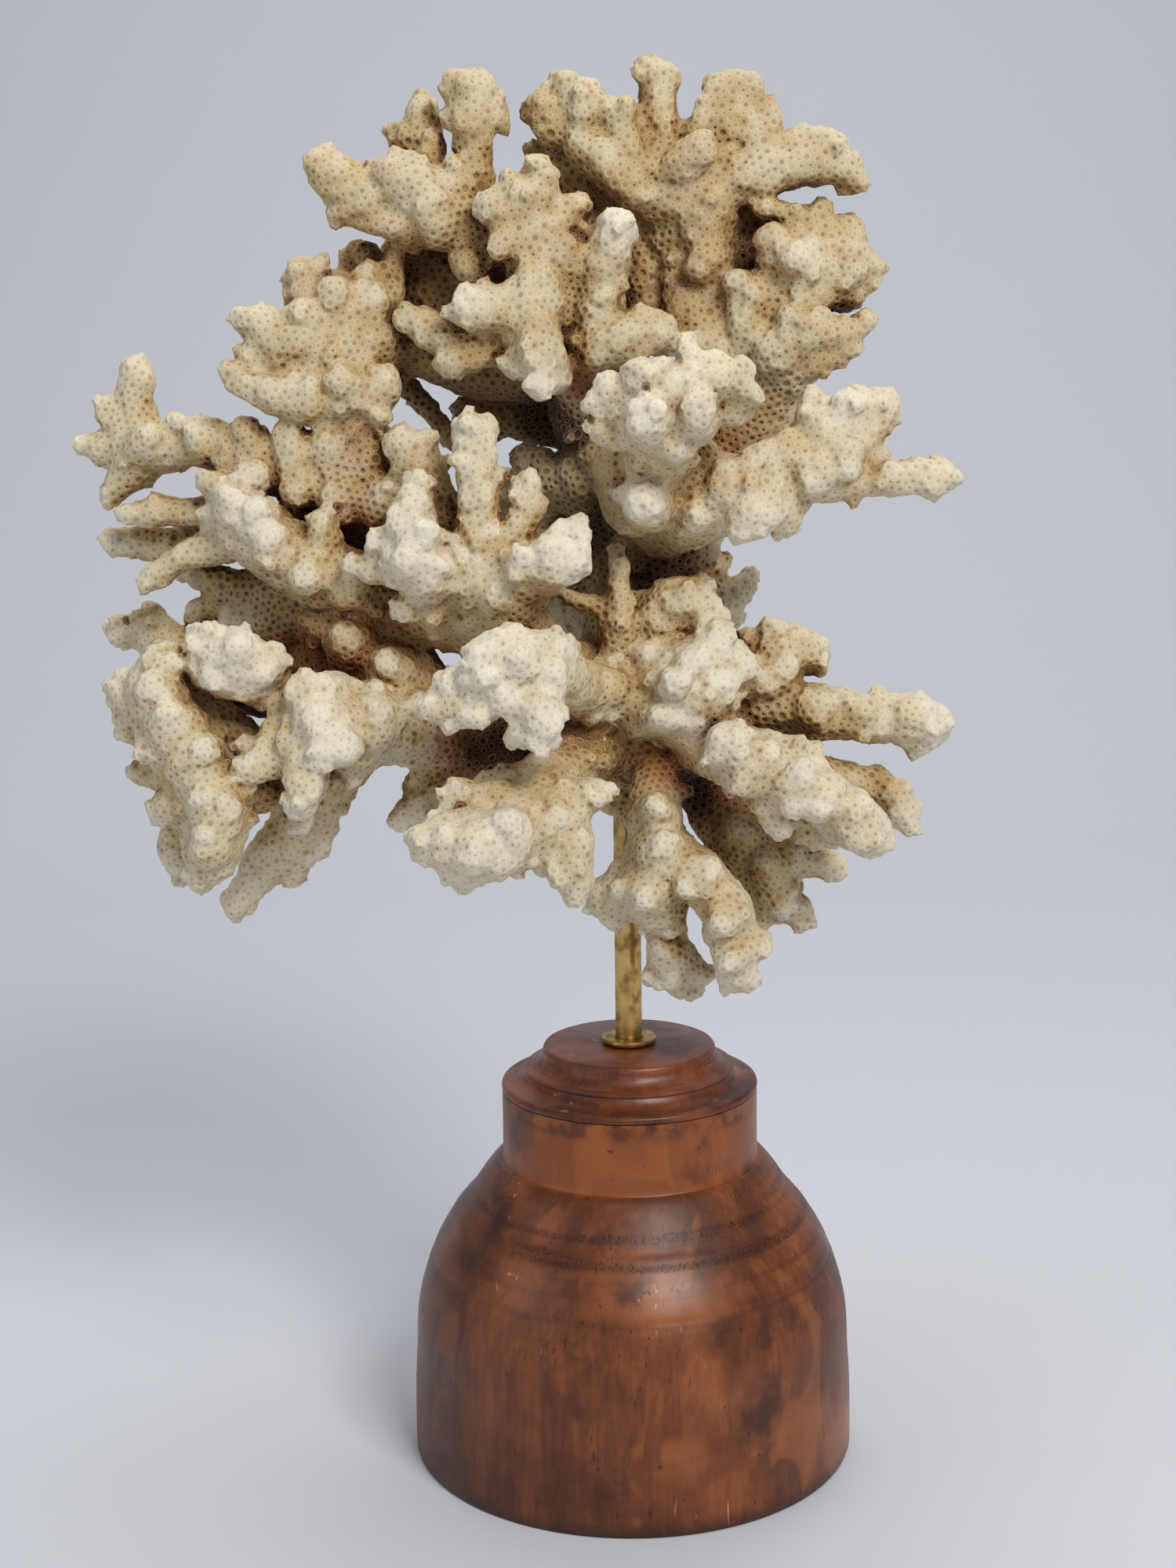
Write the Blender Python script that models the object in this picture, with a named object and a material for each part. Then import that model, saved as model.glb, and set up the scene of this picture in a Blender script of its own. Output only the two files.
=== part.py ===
"""A branching coral held up on a brass rod over a turned wooden base. Metres, +Z up.

The frame's origin is the middle of the base's underside, and the rod stands on the Z axis. The coral is one
growth that is parted at its main forks, so that each main branch is a piece of its own.
"""

import math

import bmesh
import bpy
from mathutils import Matrix, Vector

MM = 0.001

# Driving sizes, in metres
BASE_RADIUS = 0.042
BASE_BEVEL = 0.0006
SIDE_TOP = 0.0205
SIDE_TOP_RADIUS = 0.0414
NECK_RADIUS = 0.0242
NECK_TAPER = 0.0003
NECK_BOTTOM = 0.0573
NECK_STEP = 0.0006
NECK_TOP = 0.0705
CAP_BEAD = 0.0007
CAP_LIP_RADIUS = 0.0196
CAP_LIP_HEIGHT = 0.0040
CAP_TOP_RADIUS = 0.0161
CAP_TOP_BEVEL = 0.0005
CAP_HEIGHT = 0.0084
ROD_RADIUS = 0.0025
ROD_BEVEL = 0.0003
ROD_SINK = 0.020
ROD_TOP = 0.1375
ROD_CLEAR_FROM = 0.083
WASHER_RADIUS = 0.0052
WASHER_HEIGHT = 0.0011
GAP = 0.0003
TURNED_SIDES = 28
ROD_SIDES = 12
WASHER_SIDES = 16

# The bell's round shoulder from its side up to the neck, and the cap's two coves as steps above the cap's
# underside and above its lip: (radius, height)
SHOULDER = [(0.0410, 0.0280), (0.0395, 0.0344), (0.0373, 0.0403), (0.0338, 0.0463), (0.0306, 0.0501),
            (0.0279, 0.0543)]
FIRST_COVE = [(0.0216, 0.0016), (0.0195, 0.0027)]
SECOND_COVE = [(0.0182, 0.0013), (0.0169, 0.0027)]

# The eye that the coral's branches were measured from
EYE = Vector((0.0, -0.419, 0.207))
EYE_DOWN = 0.1848
EYE_LEFT = 0.0169
EYE_ROLL = 0.0134
FRAME_MIDDLE = (750, 1000)
FRAME_FOCAL = 2937.6

# How the coral's skin is made from its beads
BEAD_STEP = 0.4
SKIN_VOXEL = 0.0008
SKIN_SMOOTHING = 5
SKIN_SWELL = 0.00025
FACE_AREA = 18 * MM * MM
MERGE = 0.002 * MM

# Each branch is a set of limbs, and each limb is a route of stops: across and down in the photograph's
# 1500 by 2000 frame, millimetres in front of the rod, and the limb's radius there in millimetres.
CORAL = {
    "coral_trunk": {
        "stem over the rod": [(790, 1013, 0, 4.8), (796, 985, 0, 6.2), (800, 950, 2, 8),
                              (800, 900, 2, 9.5), (795, 850, 0, 9), (790, 795, -3, 7.5)],
        "right face": [(800, 900, 4, 9), (850, 870, 12, 8), (893, 850, 16, 6.3), (915, 822, 18, 3.4)],
        "right knob": [(850, 880, 12, 8), (890, 890, 17, 6.5), (918, 888, 18, 3.4)],
        "lower lobe": [(860, 900, 12, 7.5), (885, 932, 16, 4.8), (898, 950, 17, 3)],
        "upper lobe": [(800, 830, 4, 7), (845, 790, 8, 6.5), (868, 768, 12, 5), (898, 778, 13, 3.2)],
        "upper knob": [(868, 768, 12, 4.5), (897, 752, 13, 2.2)],
        "front knobs": [(800, 890, 10, 7), (776, 878, 18, 3), (757, 905, 17, 2.6)],
        "white knob": [(815, 900, 12, 6), (840, 916, 21, 2.4)],
        "left shoulder": [(795, 900, 0, 8), (750, 940, 4, 7), (712, 955, 6, 6)],
        "back swell": [(795, 930, -2, 8), (780, 890, -12, 8.5), (770, 850, -18, 7)],
    },
    "crown_stem": {
        "stem": [(792, 810, -4, 7.5), (802, 740, -12, 8.5), (800, 660, -12, 9.5), (775, 580, -8, 9),
                 (748, 500, -3, 8), (738, 430, 0, 7)],
        "left wall": [(775, 600, -12, 8), (715, 620, -14, 6), (690, 690, -14, 5.5)],
        "right root": [(800, 700, -10, 8), (850, 700, -8, 7), (882, 700, -8, 5)],
    },
    "crown_left": {
        "root": [(690, 350, 2, 5.5), (650, 320, 1, 5.6), (605, 290, 0, 6), (560, 258, 0, 7)],
        "left arm": [(560, 280, 0, 6), (510, 272, 0, 5), (460, 248, 0, 5), (420, 217, 0, 3.6),
                     (408, 207, 0, 2.6)],
        "arm underside": [(520, 285, 2, 4), (462, 276, 2, 2.6)],
        "arm knob": [(450, 262, 2, 3.4), (430, 272, 2, 2)],
        "back lobe": [(560, 250, -6, 5), (540, 200, -9, 4.4), (536, 160, -10, 4), (537, 140, -10, 2.6)],
        "back lobe knob": [(530, 185, -9, 3), (506, 172, -9, 2)],
        "left knob": [(530, 245, 2, 4), (486, 222, 2, 2.4)],
        "top knob": [(540, 240, 4, 4), (512, 207, 4, 2.2)],
        "upright finger": [(597, 270, 0, 5), (604, 225, 0, 4), (606, 188, 0, 3.4), (603, 150, 0, 4.6),
                           (598, 124, 0, 4.2)],
        "finger knob": [(610, 155, 0, 3.6), (630, 135, 0, 2.2)],
        "finger tip": [(590, 125, 0, 3.4), (573, 107, 0, 1.6)],
    },
    "crown_middle": {
        "root": [(740, 450, 0, 7.4), (712, 385, 4, 7), (685, 320, 7, 6.6), (668, 268, 8, 6)],
        "right side": [(745, 440, 2, 7), (760, 410, 2, 6), (745, 350, 4, 5), (735, 310, 5, 3.6)],
        "chin": [(755, 450, 6, 6), (770, 440, 10, 4.4), (840, 425, 10, 3.6)],
        "top lobe": [(670, 270, 8, 5), (688, 225, 8, 3.4)],
        "left lobe": [(665, 290, 8, 5), (632, 272, 9, 3.4)],
        "right knob": [(690, 290, 8, 5), (735, 264, 8, 2.5)],
        "white finger": [(745, 410, 3, 5.4), (760, 370, 7, 4.6), (777, 325, 10, 4), (785, 290, 11, 3.1)],
        "drooping limb": [(710, 400, 4, 5.6), (680, 400, 12, 5), (690, 450, 15, 4.3),
                          (691, 492, 16, 2.8)],
        "drooping knob": [(684, 430, 14, 4), (658, 462, 14, 2.4)],
        "jagged lobe": [(690, 390, 8, 5), (640, 395, 13, 4.6), (600, 398, 14, 3.4), (580, 398, 14, 2)],
        "jagged knob": [(625, 392, 13, 3.6), (598, 378, 14, 2)],
        "left twig": [(700, 430, 4, 5), (640, 440, 8, 4.2), (590, 443, 9, 3.6), (545, 418, 6, 3.4),
                      (522, 402, 6, 2.4)],
        "twig knob": [(600, 445, 9, 3.4), (581, 455, 11, 2)],
    },
    "crown_right": {
        "root": [(925, 470, -6, 7), (908, 410, -7, 6.2), (902, 340, -7, 6), (895, 270, -6, 7)],
        "left arm": [(888, 250, -6, 6.4), (832, 245, -6, 6), (786, 208, -6, 5.8), (740, 162, -6, 5.2),
                     (707, 135, -6, 3.8)],
        "web": [(870, 240, -6, 6), (820, 200, -6, 5), (790, 165, -6, 3.4)],
        "left arm tips": [(735, 160, -6, 4), (722, 118, -6, 2.6), (714, 106, -6, 1.7)],
        "left arm knob": [(760, 180, -6, 4), (752, 120, -6, 2.2)],
        "left arm end": [(715, 145, -6, 3.4), (676, 142, -6, 2)],
        "left thin tip": [(780, 225, -10, 3), (725, 207, -12, 2.2), (682, 188, -12, 1.7)],
        "middle finger": [(865, 240, -6, 5), (852, 190, -6, 4), (839, 130, -6, 3.6), (834, 97, -6, 3)],
        "middle lobe": [(850, 200, -6, 4), (812, 160, -5, 3), (795, 142, -5, 2)],
        "right finger": [(900, 240, -6, 5), (915, 180, -6, 4), (930, 135, -6, 3.9), (935, 122, -6, 3.4)],
        "right knob": [(930, 165, -6, 4), (980, 147, -6, 2.2)],
        "right arm": [(900, 255, -6, 5.4), (960, 215, -6, 4.8), (1020, 195, -6, 4.2),
                      (1068, 203, -6, 3.6), (1086, 226, -6, 2.8)],
        "back arm": [(900, 420, -12, 6), (850, 390, -18, 6), (830, 330, -18, 5.6), (825, 280, -17, 4.4)],
    },
    "fan_right": {
        "root": [(810, 650, -12, 8), (880, 610, -11, 8), (935, 560, -8, 7), (970, 510, -6, 7),
                 (990, 460, -5, 7.5), (1005, 410, -4, 7), (1030, 345, -4, 8)],
        "body": [(940, 455, -6, 7.5), (945, 410, -6, 7), (990, 385, -5, 7.4), (1030, 375, -4, 6)],
        "shoulder": [(960, 470, -5, 7), (915, 440, -5, 6), (872, 400, -5, 4.5), (868, 372, -5, 3)],
        "left knob": [(930, 450, -4, 5), (880, 440, 0, 3), (838, 440, 2, 2.4)],
        "upper knobs": [(1030, 320, -4, 6), (1012, 278, -4, 3), (978, 268, -4, 2.2)],
        "top knob": [(1035, 320, -4, 6), (1042, 276, -4, 2.8)],
        "corner knob": [(1050, 330, -4, 6), (1082, 300, -4, 2.8)],
        "side tip": [(1050, 345, -4, 6), (1108, 345, -4, 3)],
        "lower knob": [(1040, 360, -4, 6), (1082, 375, -4, 3.4)],
        "ledge": [(990, 450, 0, 6), (1030, 425, 2, 4.2), (1080, 425, 1, 2.8), (1108, 408, 0, 2)],
        "ledge underside": [(1000, 470, -2, 6), (1045, 452, 0, 4), (1085, 442, 0, 2.4)],
        "low side": [(985, 500, -6, 6), (1005, 520, -6, 4)],
    },
    "front_cluster": {
        "root": [(815, 665, -4, 8), (830, 625, 10, 9.5), (838, 585, 20, 9), (845, 545, 28, 8.5),
                 (850, 515, 32, 7)],
        "white finger": [(868, 500, 33, 5), (876, 465, 33, 3.2), (879, 438, 32, 1.8)],
        "right lobe": [(870, 505, 33, 6), (918, 482, 34, 5), (948, 492, 33, 3.4), (962, 502, 33, 1.9)],
        "right top": [(915, 475, 34, 4), (908, 462, 34, 2)],
        "upper left": [(840, 505, 33, 6), (815, 485, 34, 4.4), (818, 472, 34, 2.4)],
        "upper knob": [(840, 495, 34, 5), (845, 474, 34, 2)],
        "left lobe": [(835, 520, 32, 7), (790, 500, 32, 4.6), (757, 512, 32, 2.8)],
        "left knob": [(800, 505, 32, 4), (772, 488, 32, 2.4)],
        "lower left": [(830, 545, 28, 7), (785, 545, 28, 4.6), (760, 548, 28, 2.6)],
        "dome": [(845, 530, 30, 6), (825, 527, 37, 4.4)],
        "right dome": [(865, 530, 30, 6), (888, 522, 37, 3.8)],
        "pitted knob": [(830, 640, 14, 6), (824, 638, 24, 3)],
        "low knob": [(815, 640, 14, 5), (797, 632, 21, 2.4)],
    },
    "right_arm": {
        "root": [(845, 660, -2, 8), (890, 640, 12, 8), (940, 625, 16, 6.5), (1000, 606, 16, 5.6),
                 (1060, 612, 16, 4.4), (1125, 611, 16, 3.2), (1175, 609, 16, 3.7), (1199, 611, 16, 3)],
        "upper body": [(1000, 600, 16, 5.4), (1045, 578, 16, 5.4), (1070, 560, 15, 5.2)],
        "upper left": [(1050, 580, 15, 5), (1040, 530, 14, 3.6), (1037, 508, 14, 2.2)],
        "upper right": [(1060, 570, 15, 5), (1098, 528, 15, 3.6), (1122, 516, 15, 2.7)],
        "white ball": [(1065, 550, 16, 4.5), (1083, 514, 18, 2.6)],
        "thin tip": [(1088, 530, 14, 3), (1095, 500, 14, 1.3)],
        "small lobe": [(1080, 590, 16, 4), (1109, 580, 14, 2.6)],
        "top knob": [(985, 600, 17, 5), (989, 576, 18, 2.3)],
        "front knob": [(960, 610, 18, 5), (962, 584, 20, 2.4)],
        "white lobe": [(945, 630, 17, 6), (958, 655, 21, 4.8), (950, 674, 21, 2.8)],
        "white tip": [(985, 625, 17, 6), (998, 655, 18, 3.6), (999, 671, 17, 2.2)],
    },
    "right_middle": {
        "root": [(860, 880, 4, 7), (920, 897, 7, 6), (975, 900, 10, 5.2), (1040, 906, 12, 5.2),
                 (1100, 914, 12, 4.7), (1150, 916, 12, 5), (1176, 922, 12, 5)],
        "tip knob": [(1160, 930, 12, 4), (1173, 950, 12, 2.4)],
        "cup lobe": [(960, 885, 8, 5.4), (985, 848, 8, 5.6), (1010, 828, 8, 4.8), (1036, 834, 8, 3.6)],
        "cup tip": [(1000, 835, 8, 4.6), (987, 805, 8, 2.8)],
        "cup knob": [(985, 840, 8, 4), (953, 812, 8, 2)],
        "pale lobe": [(960, 875, 10, 5), (943, 852, 17, 3.4)],
        "low knob": [(930, 905, 10, 5), (915, 915, 12, 3)],
    },
    "right_lower": {
        "root": [(868, 945, 4, 6), (925, 958, 18, 6), (970, 978, 23, 6.2), (1020, 1000, 24, 5.6),
                 (1066, 1026, 24, 5.4), (1104, 1056, 24, 4.8)],
        "round lobe": [(935, 965, 22, 5.6), (930, 952, 27, 4.4)],
        "top ridge": [(960, 970, 22, 5), (1000, 955, 22, 3), (1030, 975, 22, 3.4)],
        "tip": [(1095, 1055, 24, 4.6), (1108, 1076, 24, 2.8)],
        "under knob": [(985, 1010, 23, 5), (994, 1052, 24, 2.5)],
        "under lobe": [(1020, 1030, 14, 4.5), (1052, 1058, 13, 3.6)],
        "back arm": [(1020, 990, 14, 4.6), (1095, 998, 9, 3.6), (1135, 1016, 9, 4), (1150, 1038, 9, 3.6)],
    },
    "lower_right": {
        "root": [(845, 960, 0, 7), (885, 995, -2, 5.5), (925, 1045, 1, 6.4), (962, 1085, 4, 6.4),
                 (985, 1120, 5, 5.6), (992, 1145, 5, 4.6)],
        "right tip": [(985, 1085, 4, 5), (1035, 1098, 5, 3.5), (1060, 1107, 5, 2.8)],
        "low right tip": [(995, 1140, 5, 4), (1015, 1166, 5, 2.8), (1020, 1172, 5, 2.4)],
        "low left tip": [(980, 1150, 5, 4), (970, 1178, 5, 2.3)],
    },
    "lower_centre": {
        "root": [(832, 950, 4, 6), (836, 985, 11, 5), (835, 1030, 15, 5.4), (838, 1075, 16, 6),
                 (836, 1115, 16, 7.2), (838, 1150, 15, 6)],
        "left lobe": [(815, 1120, 15, 6), (783, 1140, 14, 4.2), (768, 1148, 14, 3)],
        "left tip": [(800, 1145, 14, 4), (784, 1172, 14, 2.6)],
        "front knob": [(805, 1130, 16, 4), (791, 1134, 21, 1.8)],
        "right arm": [(855, 1095, 17, 6), (895, 1122, 20, 5.2), (925, 1160, 22, 5), (937, 1205, 22, 5),
                      (938, 1243, 22, 3.5)],
        "arm knob": [(940, 1195, 22, 4), (967, 1205, 22, 2.6)],
        "low lobe": [(848, 1140, 12, 5.5), (848, 1185, 10, 3.9), (856, 1230, 10, 4.6)],
        "low tips": [(850, 1225, 10, 4), (834, 1240, 10, 2.2)],
        "low end": [(860, 1230, 10, 4.4), (865, 1256, 10, 2.6), (878, 1258, 10, 2.4)],
        "low side": [(865, 1225, 10, 4), (898, 1241, 10, 2)],
    },
    "lower_slab": {
        "root": [(790, 955, 2, 7), (740, 962, 12, 6.6), (705, 990, 22, 6), (690, 1030, 31, 6),
                 (655, 1065, 37, 6.4), (610, 1080, 39, 6.4), (565, 1078, 39, 4.6), (545, 1080, 39, 3)],
        "low edge": [(640, 1075, 38, 6), (592, 1108, 38, 3.4)],
        "upper left": [(600, 1065, 38, 5.5), (552, 1058, 37, 2.6)],
        "ring knobs": [(640, 1030, 33, 5), (600, 1022, 33, 3.6), (577, 1014, 33, 2.4)],
        "back rim": [(690, 1000, 24, 5), (640, 1002, 26, 3.4), (615, 997, 26, 2.2)],
        "top rim": [(700, 1000, 26, 4.5), (690, 985, 27, 2.8)],
        "right edge": [(700, 1030, 32, 5.4), (722, 1060, 35, 4.8), (730, 1105, 36, 4),
                       (737, 1143, 36, 2.4)],
        "pale lobe": [(715, 1030, 32, 4.5), (748, 1015, 33, 3.8), (762, 1008, 33, 2.6)],
        "low knob": [(690, 1060, 36, 5), (697, 1102, 36, 2.8)],
        "back arm": [(640, 985, 12, 5), (590, 1000, 8, 4.6), (548, 1022, 6, 4.4), (512, 1043, 6, 2.4)],
        "back arm top": [(590, 1000, 8, 4), (540, 992, 6, 3)],
    },
    "centre_branch": {
        "root": [(775, 860, 2, 8), (725, 858, 9, 6.6), (678, 825, 14, 6.4), (650, 785, 16, 7),
                 (632, 735, 18, 6.2)],
        "finger": [(620, 740, 19, 6), (609, 690, 20, 4.6), (610, 630, 20, 4.1), (606, 580, 20, 4.1),
                   (604, 552, 20, 3.7)],
        "yellow knob": [(640, 720, 19, 4.6), (668, 665, 21, 2.9), (675, 618, 21, 2.2)],
        "right cluster": [(650, 750, 19, 6), (690, 725, 24, 5.4), (722, 720, 26, 3.8),
                          (736, 716, 27, 2.6)],
        "cluster top": [(695, 715, 25, 4.4), (726, 680, 26, 2.8)],
        "cluster knob": [(670, 735, 24, 4.4), (664, 718, 28, 2.6)],
        "small finger": [(600, 755, 20, 3.8), (588, 732, 22, 2.6), (586, 718, 22, 2.2)],
        "left shoulder": [(650, 780, 16, 6.6), (600, 770, 14, 6.4), (560, 772, 12, 5.6)],
        "white branch": [(570, 775, 14, 5), (548, 745, 19, 5.4), (531, 700, 22, 5.2), (526, 650, 22, 4),
                         (531, 620, 21, 2.8)],
        "white knob left": [(525, 695, 22, 4.4), (482, 690, 21, 2.2)],
        "white tip left": [(525, 725, 20, 4.4), (478, 724, 19, 3), (453, 722, 18, 2.2)],
        "under knob": [(545, 765, 17, 4), (515, 778, 19, 2.4)],
        "upper lobe": [(590, 700, 14, 4.6), (556, 640, 11, 4.4), (528, 592, 10, 4.4),
                       (511, 562, 10, 2.4)],
        "upper lobe tip": [(535, 590, 10, 3.8), (543, 560, 10, 2.4)],
    },
    "centre_hand": {
        "root": [(765, 885, 10, 6.5), (728, 872, 22, 6), (690, 850, 31, 6.6), (645, 836, 36, 5.6),
                 (618, 838, 38, 4)],
        "upper edge": [(685, 845, 33, 5), (665, 824, 35, 3.4)],
        "right edge": [(700, 860, 32, 5), (708, 838, 32, 3.6)],
        "low lobe": [(685, 865, 34, 5.4), (688, 905, 38, 4.4), (690, 935, 39, 3.6)],
        "low lobe left": [(682, 905, 38, 4), (664, 936, 38, 2.6)],
        "left palm": [(650, 860, 34, 5.6), (605, 880, 34, 5), (583, 876, 34, 4)],
        "left finger": [(590, 892, 35, 4), (568, 906, 36, 3), (549, 904, 36, 2.1)],
        "left thumb": [(592, 895, 35, 3.6), (577, 918, 36, 2.4)],
        "middle knob": [(625, 890, 35, 4), (615, 912, 38, 2.2)],
    },
    "left_centre": {
        "root": [(740, 945, 4, 7), (680, 945, 5, 6.6), (615, 940, 6, 7), (550, 932, 8, 7.4),
                 (490, 925, 12, 8), (440, 925, 17, 7.6), (405, 930, 20, 6.6)],
        "rise": [(550, 915, 5, 7.4), (515, 860, 3, 8), (480, 815, 3, 7), (440, 800, 4, 5),
                 (412, 798, 5, 3.4)],
        "web": [(500, 890, 6, 7.4), (455, 865, 2, 7), (410, 850, -2, 5.4)],
        "bridge": [(410, 900, 17, 6), (368, 893, 15, 4.4), (340, 872, 15, 5)],
        "white lobe": [(340, 872, 15, 5), (315, 852, 17, 6), (303, 830, 18, 4.6)],
        "white lobe left": [(310, 865, 17, 5), (270, 850, 17, 4.6), (262, 822, 17, 3.2)],
        "white lobe right": [(318, 850, 17, 5), (340, 845, 17, 3.8)],
        "white lobe tip": [(272, 835, 16, 3.6), (256, 810, 16, 2.2)],
        "back lobe": [(345, 885, 4, 5), (290, 870, -4, 4.8), (250, 842, -8, 4.8), (215, 820, -10, 4.8),
                      (182, 805, -12, 4.2), (158, 808, -12, 3)],
        "back lobe tip": [(205, 815, -11, 4), (195, 790, -12, 2.8)],
        "upper lobe": [(420, 910, 20, 6), (393, 884, 22, 4.2), (393, 872, 22, 2.6)],
        "upper right": [(425, 905, 20, 5), (418, 882, 22, 2.8)],
        "back finger": [(445, 900, 16, 4), (440, 870, 17, 2.4)],
        "thin finger": [(485, 905, 16, 4), (480, 880, 18, 1.8)],
        "white palm": [(425, 930, 22, 6), (420, 945, 26, 4.6)],
        "low finger": [(400, 940, 22, 5.4), (388, 985, 25, 4.2), (386, 1018, 26, 3)],
        "low knob": [(392, 1000, 21, 3.6), (382, 1044, 20, 2.6)],
        "left finger": [(395, 950, 20, 5), (350, 955, 19, 4), (316, 952, 19, 2.2)],
        "left ball": [(360, 965, 20, 4), (318, 982, 22, 2.6)],
        "right underside": [(450, 950, 16, 6), (446, 983, 15, 3)],
        "low back": [(450, 955, 6, 6), (420, 1000, 2, 5.4), (390, 1045, -2, 5.2), (350, 1085, -4, 5),
                     (320, 1128, -4, 3.6), (303, 1152, -4, 3.1)],
        "low back tip": [(385, 1070, -4, 4.4), (374, 1118, -5, 2.2)],
        "low back edge": [(400, 1040, -2, 4.4), (406, 1078, -3, 2.8)],
    },
    "left_hand": {
        "root": [(405, 985, 12, 5.4), (350, 998, 13, 5), (300, 1000, 13, 6.4), (255, 975, 13, 7.4),
                 (225, 925, 12, 8), (200, 885, 11, 7), (208, 855, 12, 4.4)],
        "shaded web": [(330, 965, 10, 4.6), (285, 940, 9, 6), (240, 900, 9, 6)],
        "left edge": [(205, 900, 11, 6), (168, 905, 9, 4), (160, 882, 9, 3.4)],
        "left low edge": [(205, 920, 10, 5), (160, 935, 9, 2.2)],
        "finger": [(240, 965, 16, 5), (205, 955, 18, 3.6), (190, 955, 18, 2.6)],
        "dark finger": [(240, 990, 10, 5), (195, 985, 8, 3), (175, 982, 7, 2.2)],
        "low palm": [(265, 1000, 17, 7), (278, 1050, 19, 6), (270, 1095, 20, 4.8), (258, 1112, 20, 3)],
        "low palm edge": [(250, 1020, 16, 6), (215, 1025, 15, 3.4), (208, 1035, 15, 2.4)],
        "dark tip": [(245, 1050, 10, 5), (225, 1075, 8, 3.8), (228, 1103, 7, 3)],
    },
    "left_upper": {
        "root": [(720, 470, -4, 6), (660, 480, -5, 5.6), (600, 475, -5, 5.2), (548, 455, -4, 4.8),
                 (500, 430, -2, 6), (450, 408, 0, 6.4), (400, 372, 1, 5.4)],
        "body": [(455, 400, 1, 8), (445, 450, 2, 8.4), (450, 505, 4, 6.4)],
        "left side": [(420, 430, 2, 7), (400, 470, 4, 6.4), (370, 495, 6, 5)],
        "flat top": [(398, 372, 1, 5), (388, 348, 2, 2.8), (378, 342, 2, 2)],
        "flat top right": [(400, 365, 1, 4.6), (406, 345, 2, 2.4)],
        "finger": [(488, 395, 0, 4.4), (500, 345, -2, 2.8), (508, 312, -2, 2)],
        "knob": [(455, 385, 2, 4), (466, 350, 2, 2.2)],
        "back knob": [(450, 380, -4, 4), (449, 330, -9, 2.6)],
        "left arm": [(440, 425, 3, 5), (390, 437, 6, 5.2), (350, 427, 7, 4.6), (328, 415, 7, 3.2)],
        "left arm knob": [(360, 435, 7, 4), (316, 450, 7, 1.9)],
        "left arm low": [(370, 440, 7, 4), (332, 468, 7, 2)],
        "ridge arm": [(460, 510, 5, 5), (400, 515, 7, 4.6), (350, 505, 8, 3.8), (318, 492, 8, 3),
                      (296, 482, 8, 2)],
        "ridge knobs": [(470, 520, 6, 3.4), (485, 530, 9, 2.2)],
        "ridge end": [(440, 525, 6, 3.4), (452, 548, 7, 2.2)],
        "back twig": [(500, 470, -14, 2.2), (530, 505, -14, 2.2), (565, 545, -12, 2.4),
                      (600, 580, -6, 3)],
    },
    "left_long": {
        "root": [(600, 745, 2, 6), (545, 700, 0, 6.4), (495, 648, 0, 7.2), (445, 612, -1, 7.6),
                 (390, 600, -1, 7), (335, 590, -1, 5.6), (285, 572, -2, 4.6), (250, 570, -4, 4.2),
                 (212, 570, -6, 5), (178, 570, -8, 6)],
        "low wall": [(500, 660, -4, 6.4), (455, 680, -6, 6), (400, 670, -6, 5)],
        "shoulder knob": [(285, 570, -2, 4), (262, 548, -2, 2.6)],
        "top finger": [(175, 555, -8, 5), (172, 505, -8, 3.4), (172, 478, -8, 3.2)],
        "left knob": [(165, 550, -8, 4.6), (133, 517, -8, 2.2)],
        "left lobe": [(165, 572, -8, 5), (125, 572, -8, 3), (108, 571, -8, 2.2)],
        "low lobe": [(175, 590, -8, 4.6), (150, 622, -8, 2.8), (142, 630, -8, 2.2)],
        "neck knob": [(225, 565, -5, 4.4), (222, 545, -3, 2.6)],
        "middle knob": [(335, 600, 1, 4.4), (322, 608, 7, 3.4)],
    },
    "left_middle": {
        "root": [(640, 800, 10, 6.4), (570, 790, 6, 6.2), (500, 765, 5, 6.4), (440, 745, 6, 7),
                 (375, 712, 7, 7), (325, 680, 6, 6.6), (298, 655, 5, 5.4)],
        "upper lobe": [(320, 660, 6, 5), (285, 625, 6, 3.4), (267, 614, 6, 2)],
        "finger knob": [(415, 705, 10, 4), (409, 670, 12, 2.4), (410, 661, 12, 2)],
        "upper finger": [(310, 665, 2, 5), (250, 655, -1, 3.2), (195, 654, -2, 2.8), (162, 655, -2, 2.1)],
        "dark lobe": [(290, 685, -4, 5), (235, 695, -8, 3.6), (185, 694, -10, 3.4), (147, 688, -10, 2.6)],
        "low finger": [(300, 690, 3, 4), (240, 708, 3, 2.8), (205, 732, 3, 2.4), (190, 744, 3, 2)],
        "low arm": [(380, 745, -2, 5), (320, 752, -6, 4), (270, 740, -8, 3), (240, 727, -8, 2.2)],
        "dark tip": [(350, 765, -6, 4), (290, 770, -8, 3), (248, 780, -9, 1.9)],
        "low edge": [(430, 770, 2, 5), (370, 785, -4, 6), (330, 790, -6, 5), (300, 795, -6, 3)],
        "low wall": [(450, 775, -4, 6), (410, 820, -8, 6), (370, 830, -9, 4.4)],
    },
    "centre_twigs": {
        "upright twig": [(795, 850, 9, 4), (790, 800, 13, 3.2), (790, 760, 14, 2.3), (790, 725, 13, 2),
                         (787, 702, 12, 1.5)],
        "side twig": [(788, 795, 13, 2.6), (762, 774, 13, 1.9), (730, 762, 13, 1.7), (700, 748, 14, 1.7)],
    },
    "dark_branch": {
        "root": [(830, 730, -14, 6.5), (870, 755, -18, 5), (905, 765, -20, 4.6), (935, 758, -20, 3.4),
                 (956, 740, -20, 2)],
        "upper tip": [(905, 755, -20, 4), (914, 735, -20, 1.8)],
        "low lobe": [(900, 775, -18, 4), (925, 785, -17, 2.8)],
    },
    "back_upper": {
        "root": [(770, 560, -12, 7), (745, 510, -24, 6.5), (715, 450, -34, 6.5), (690, 390, -40, 5.5)],
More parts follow.
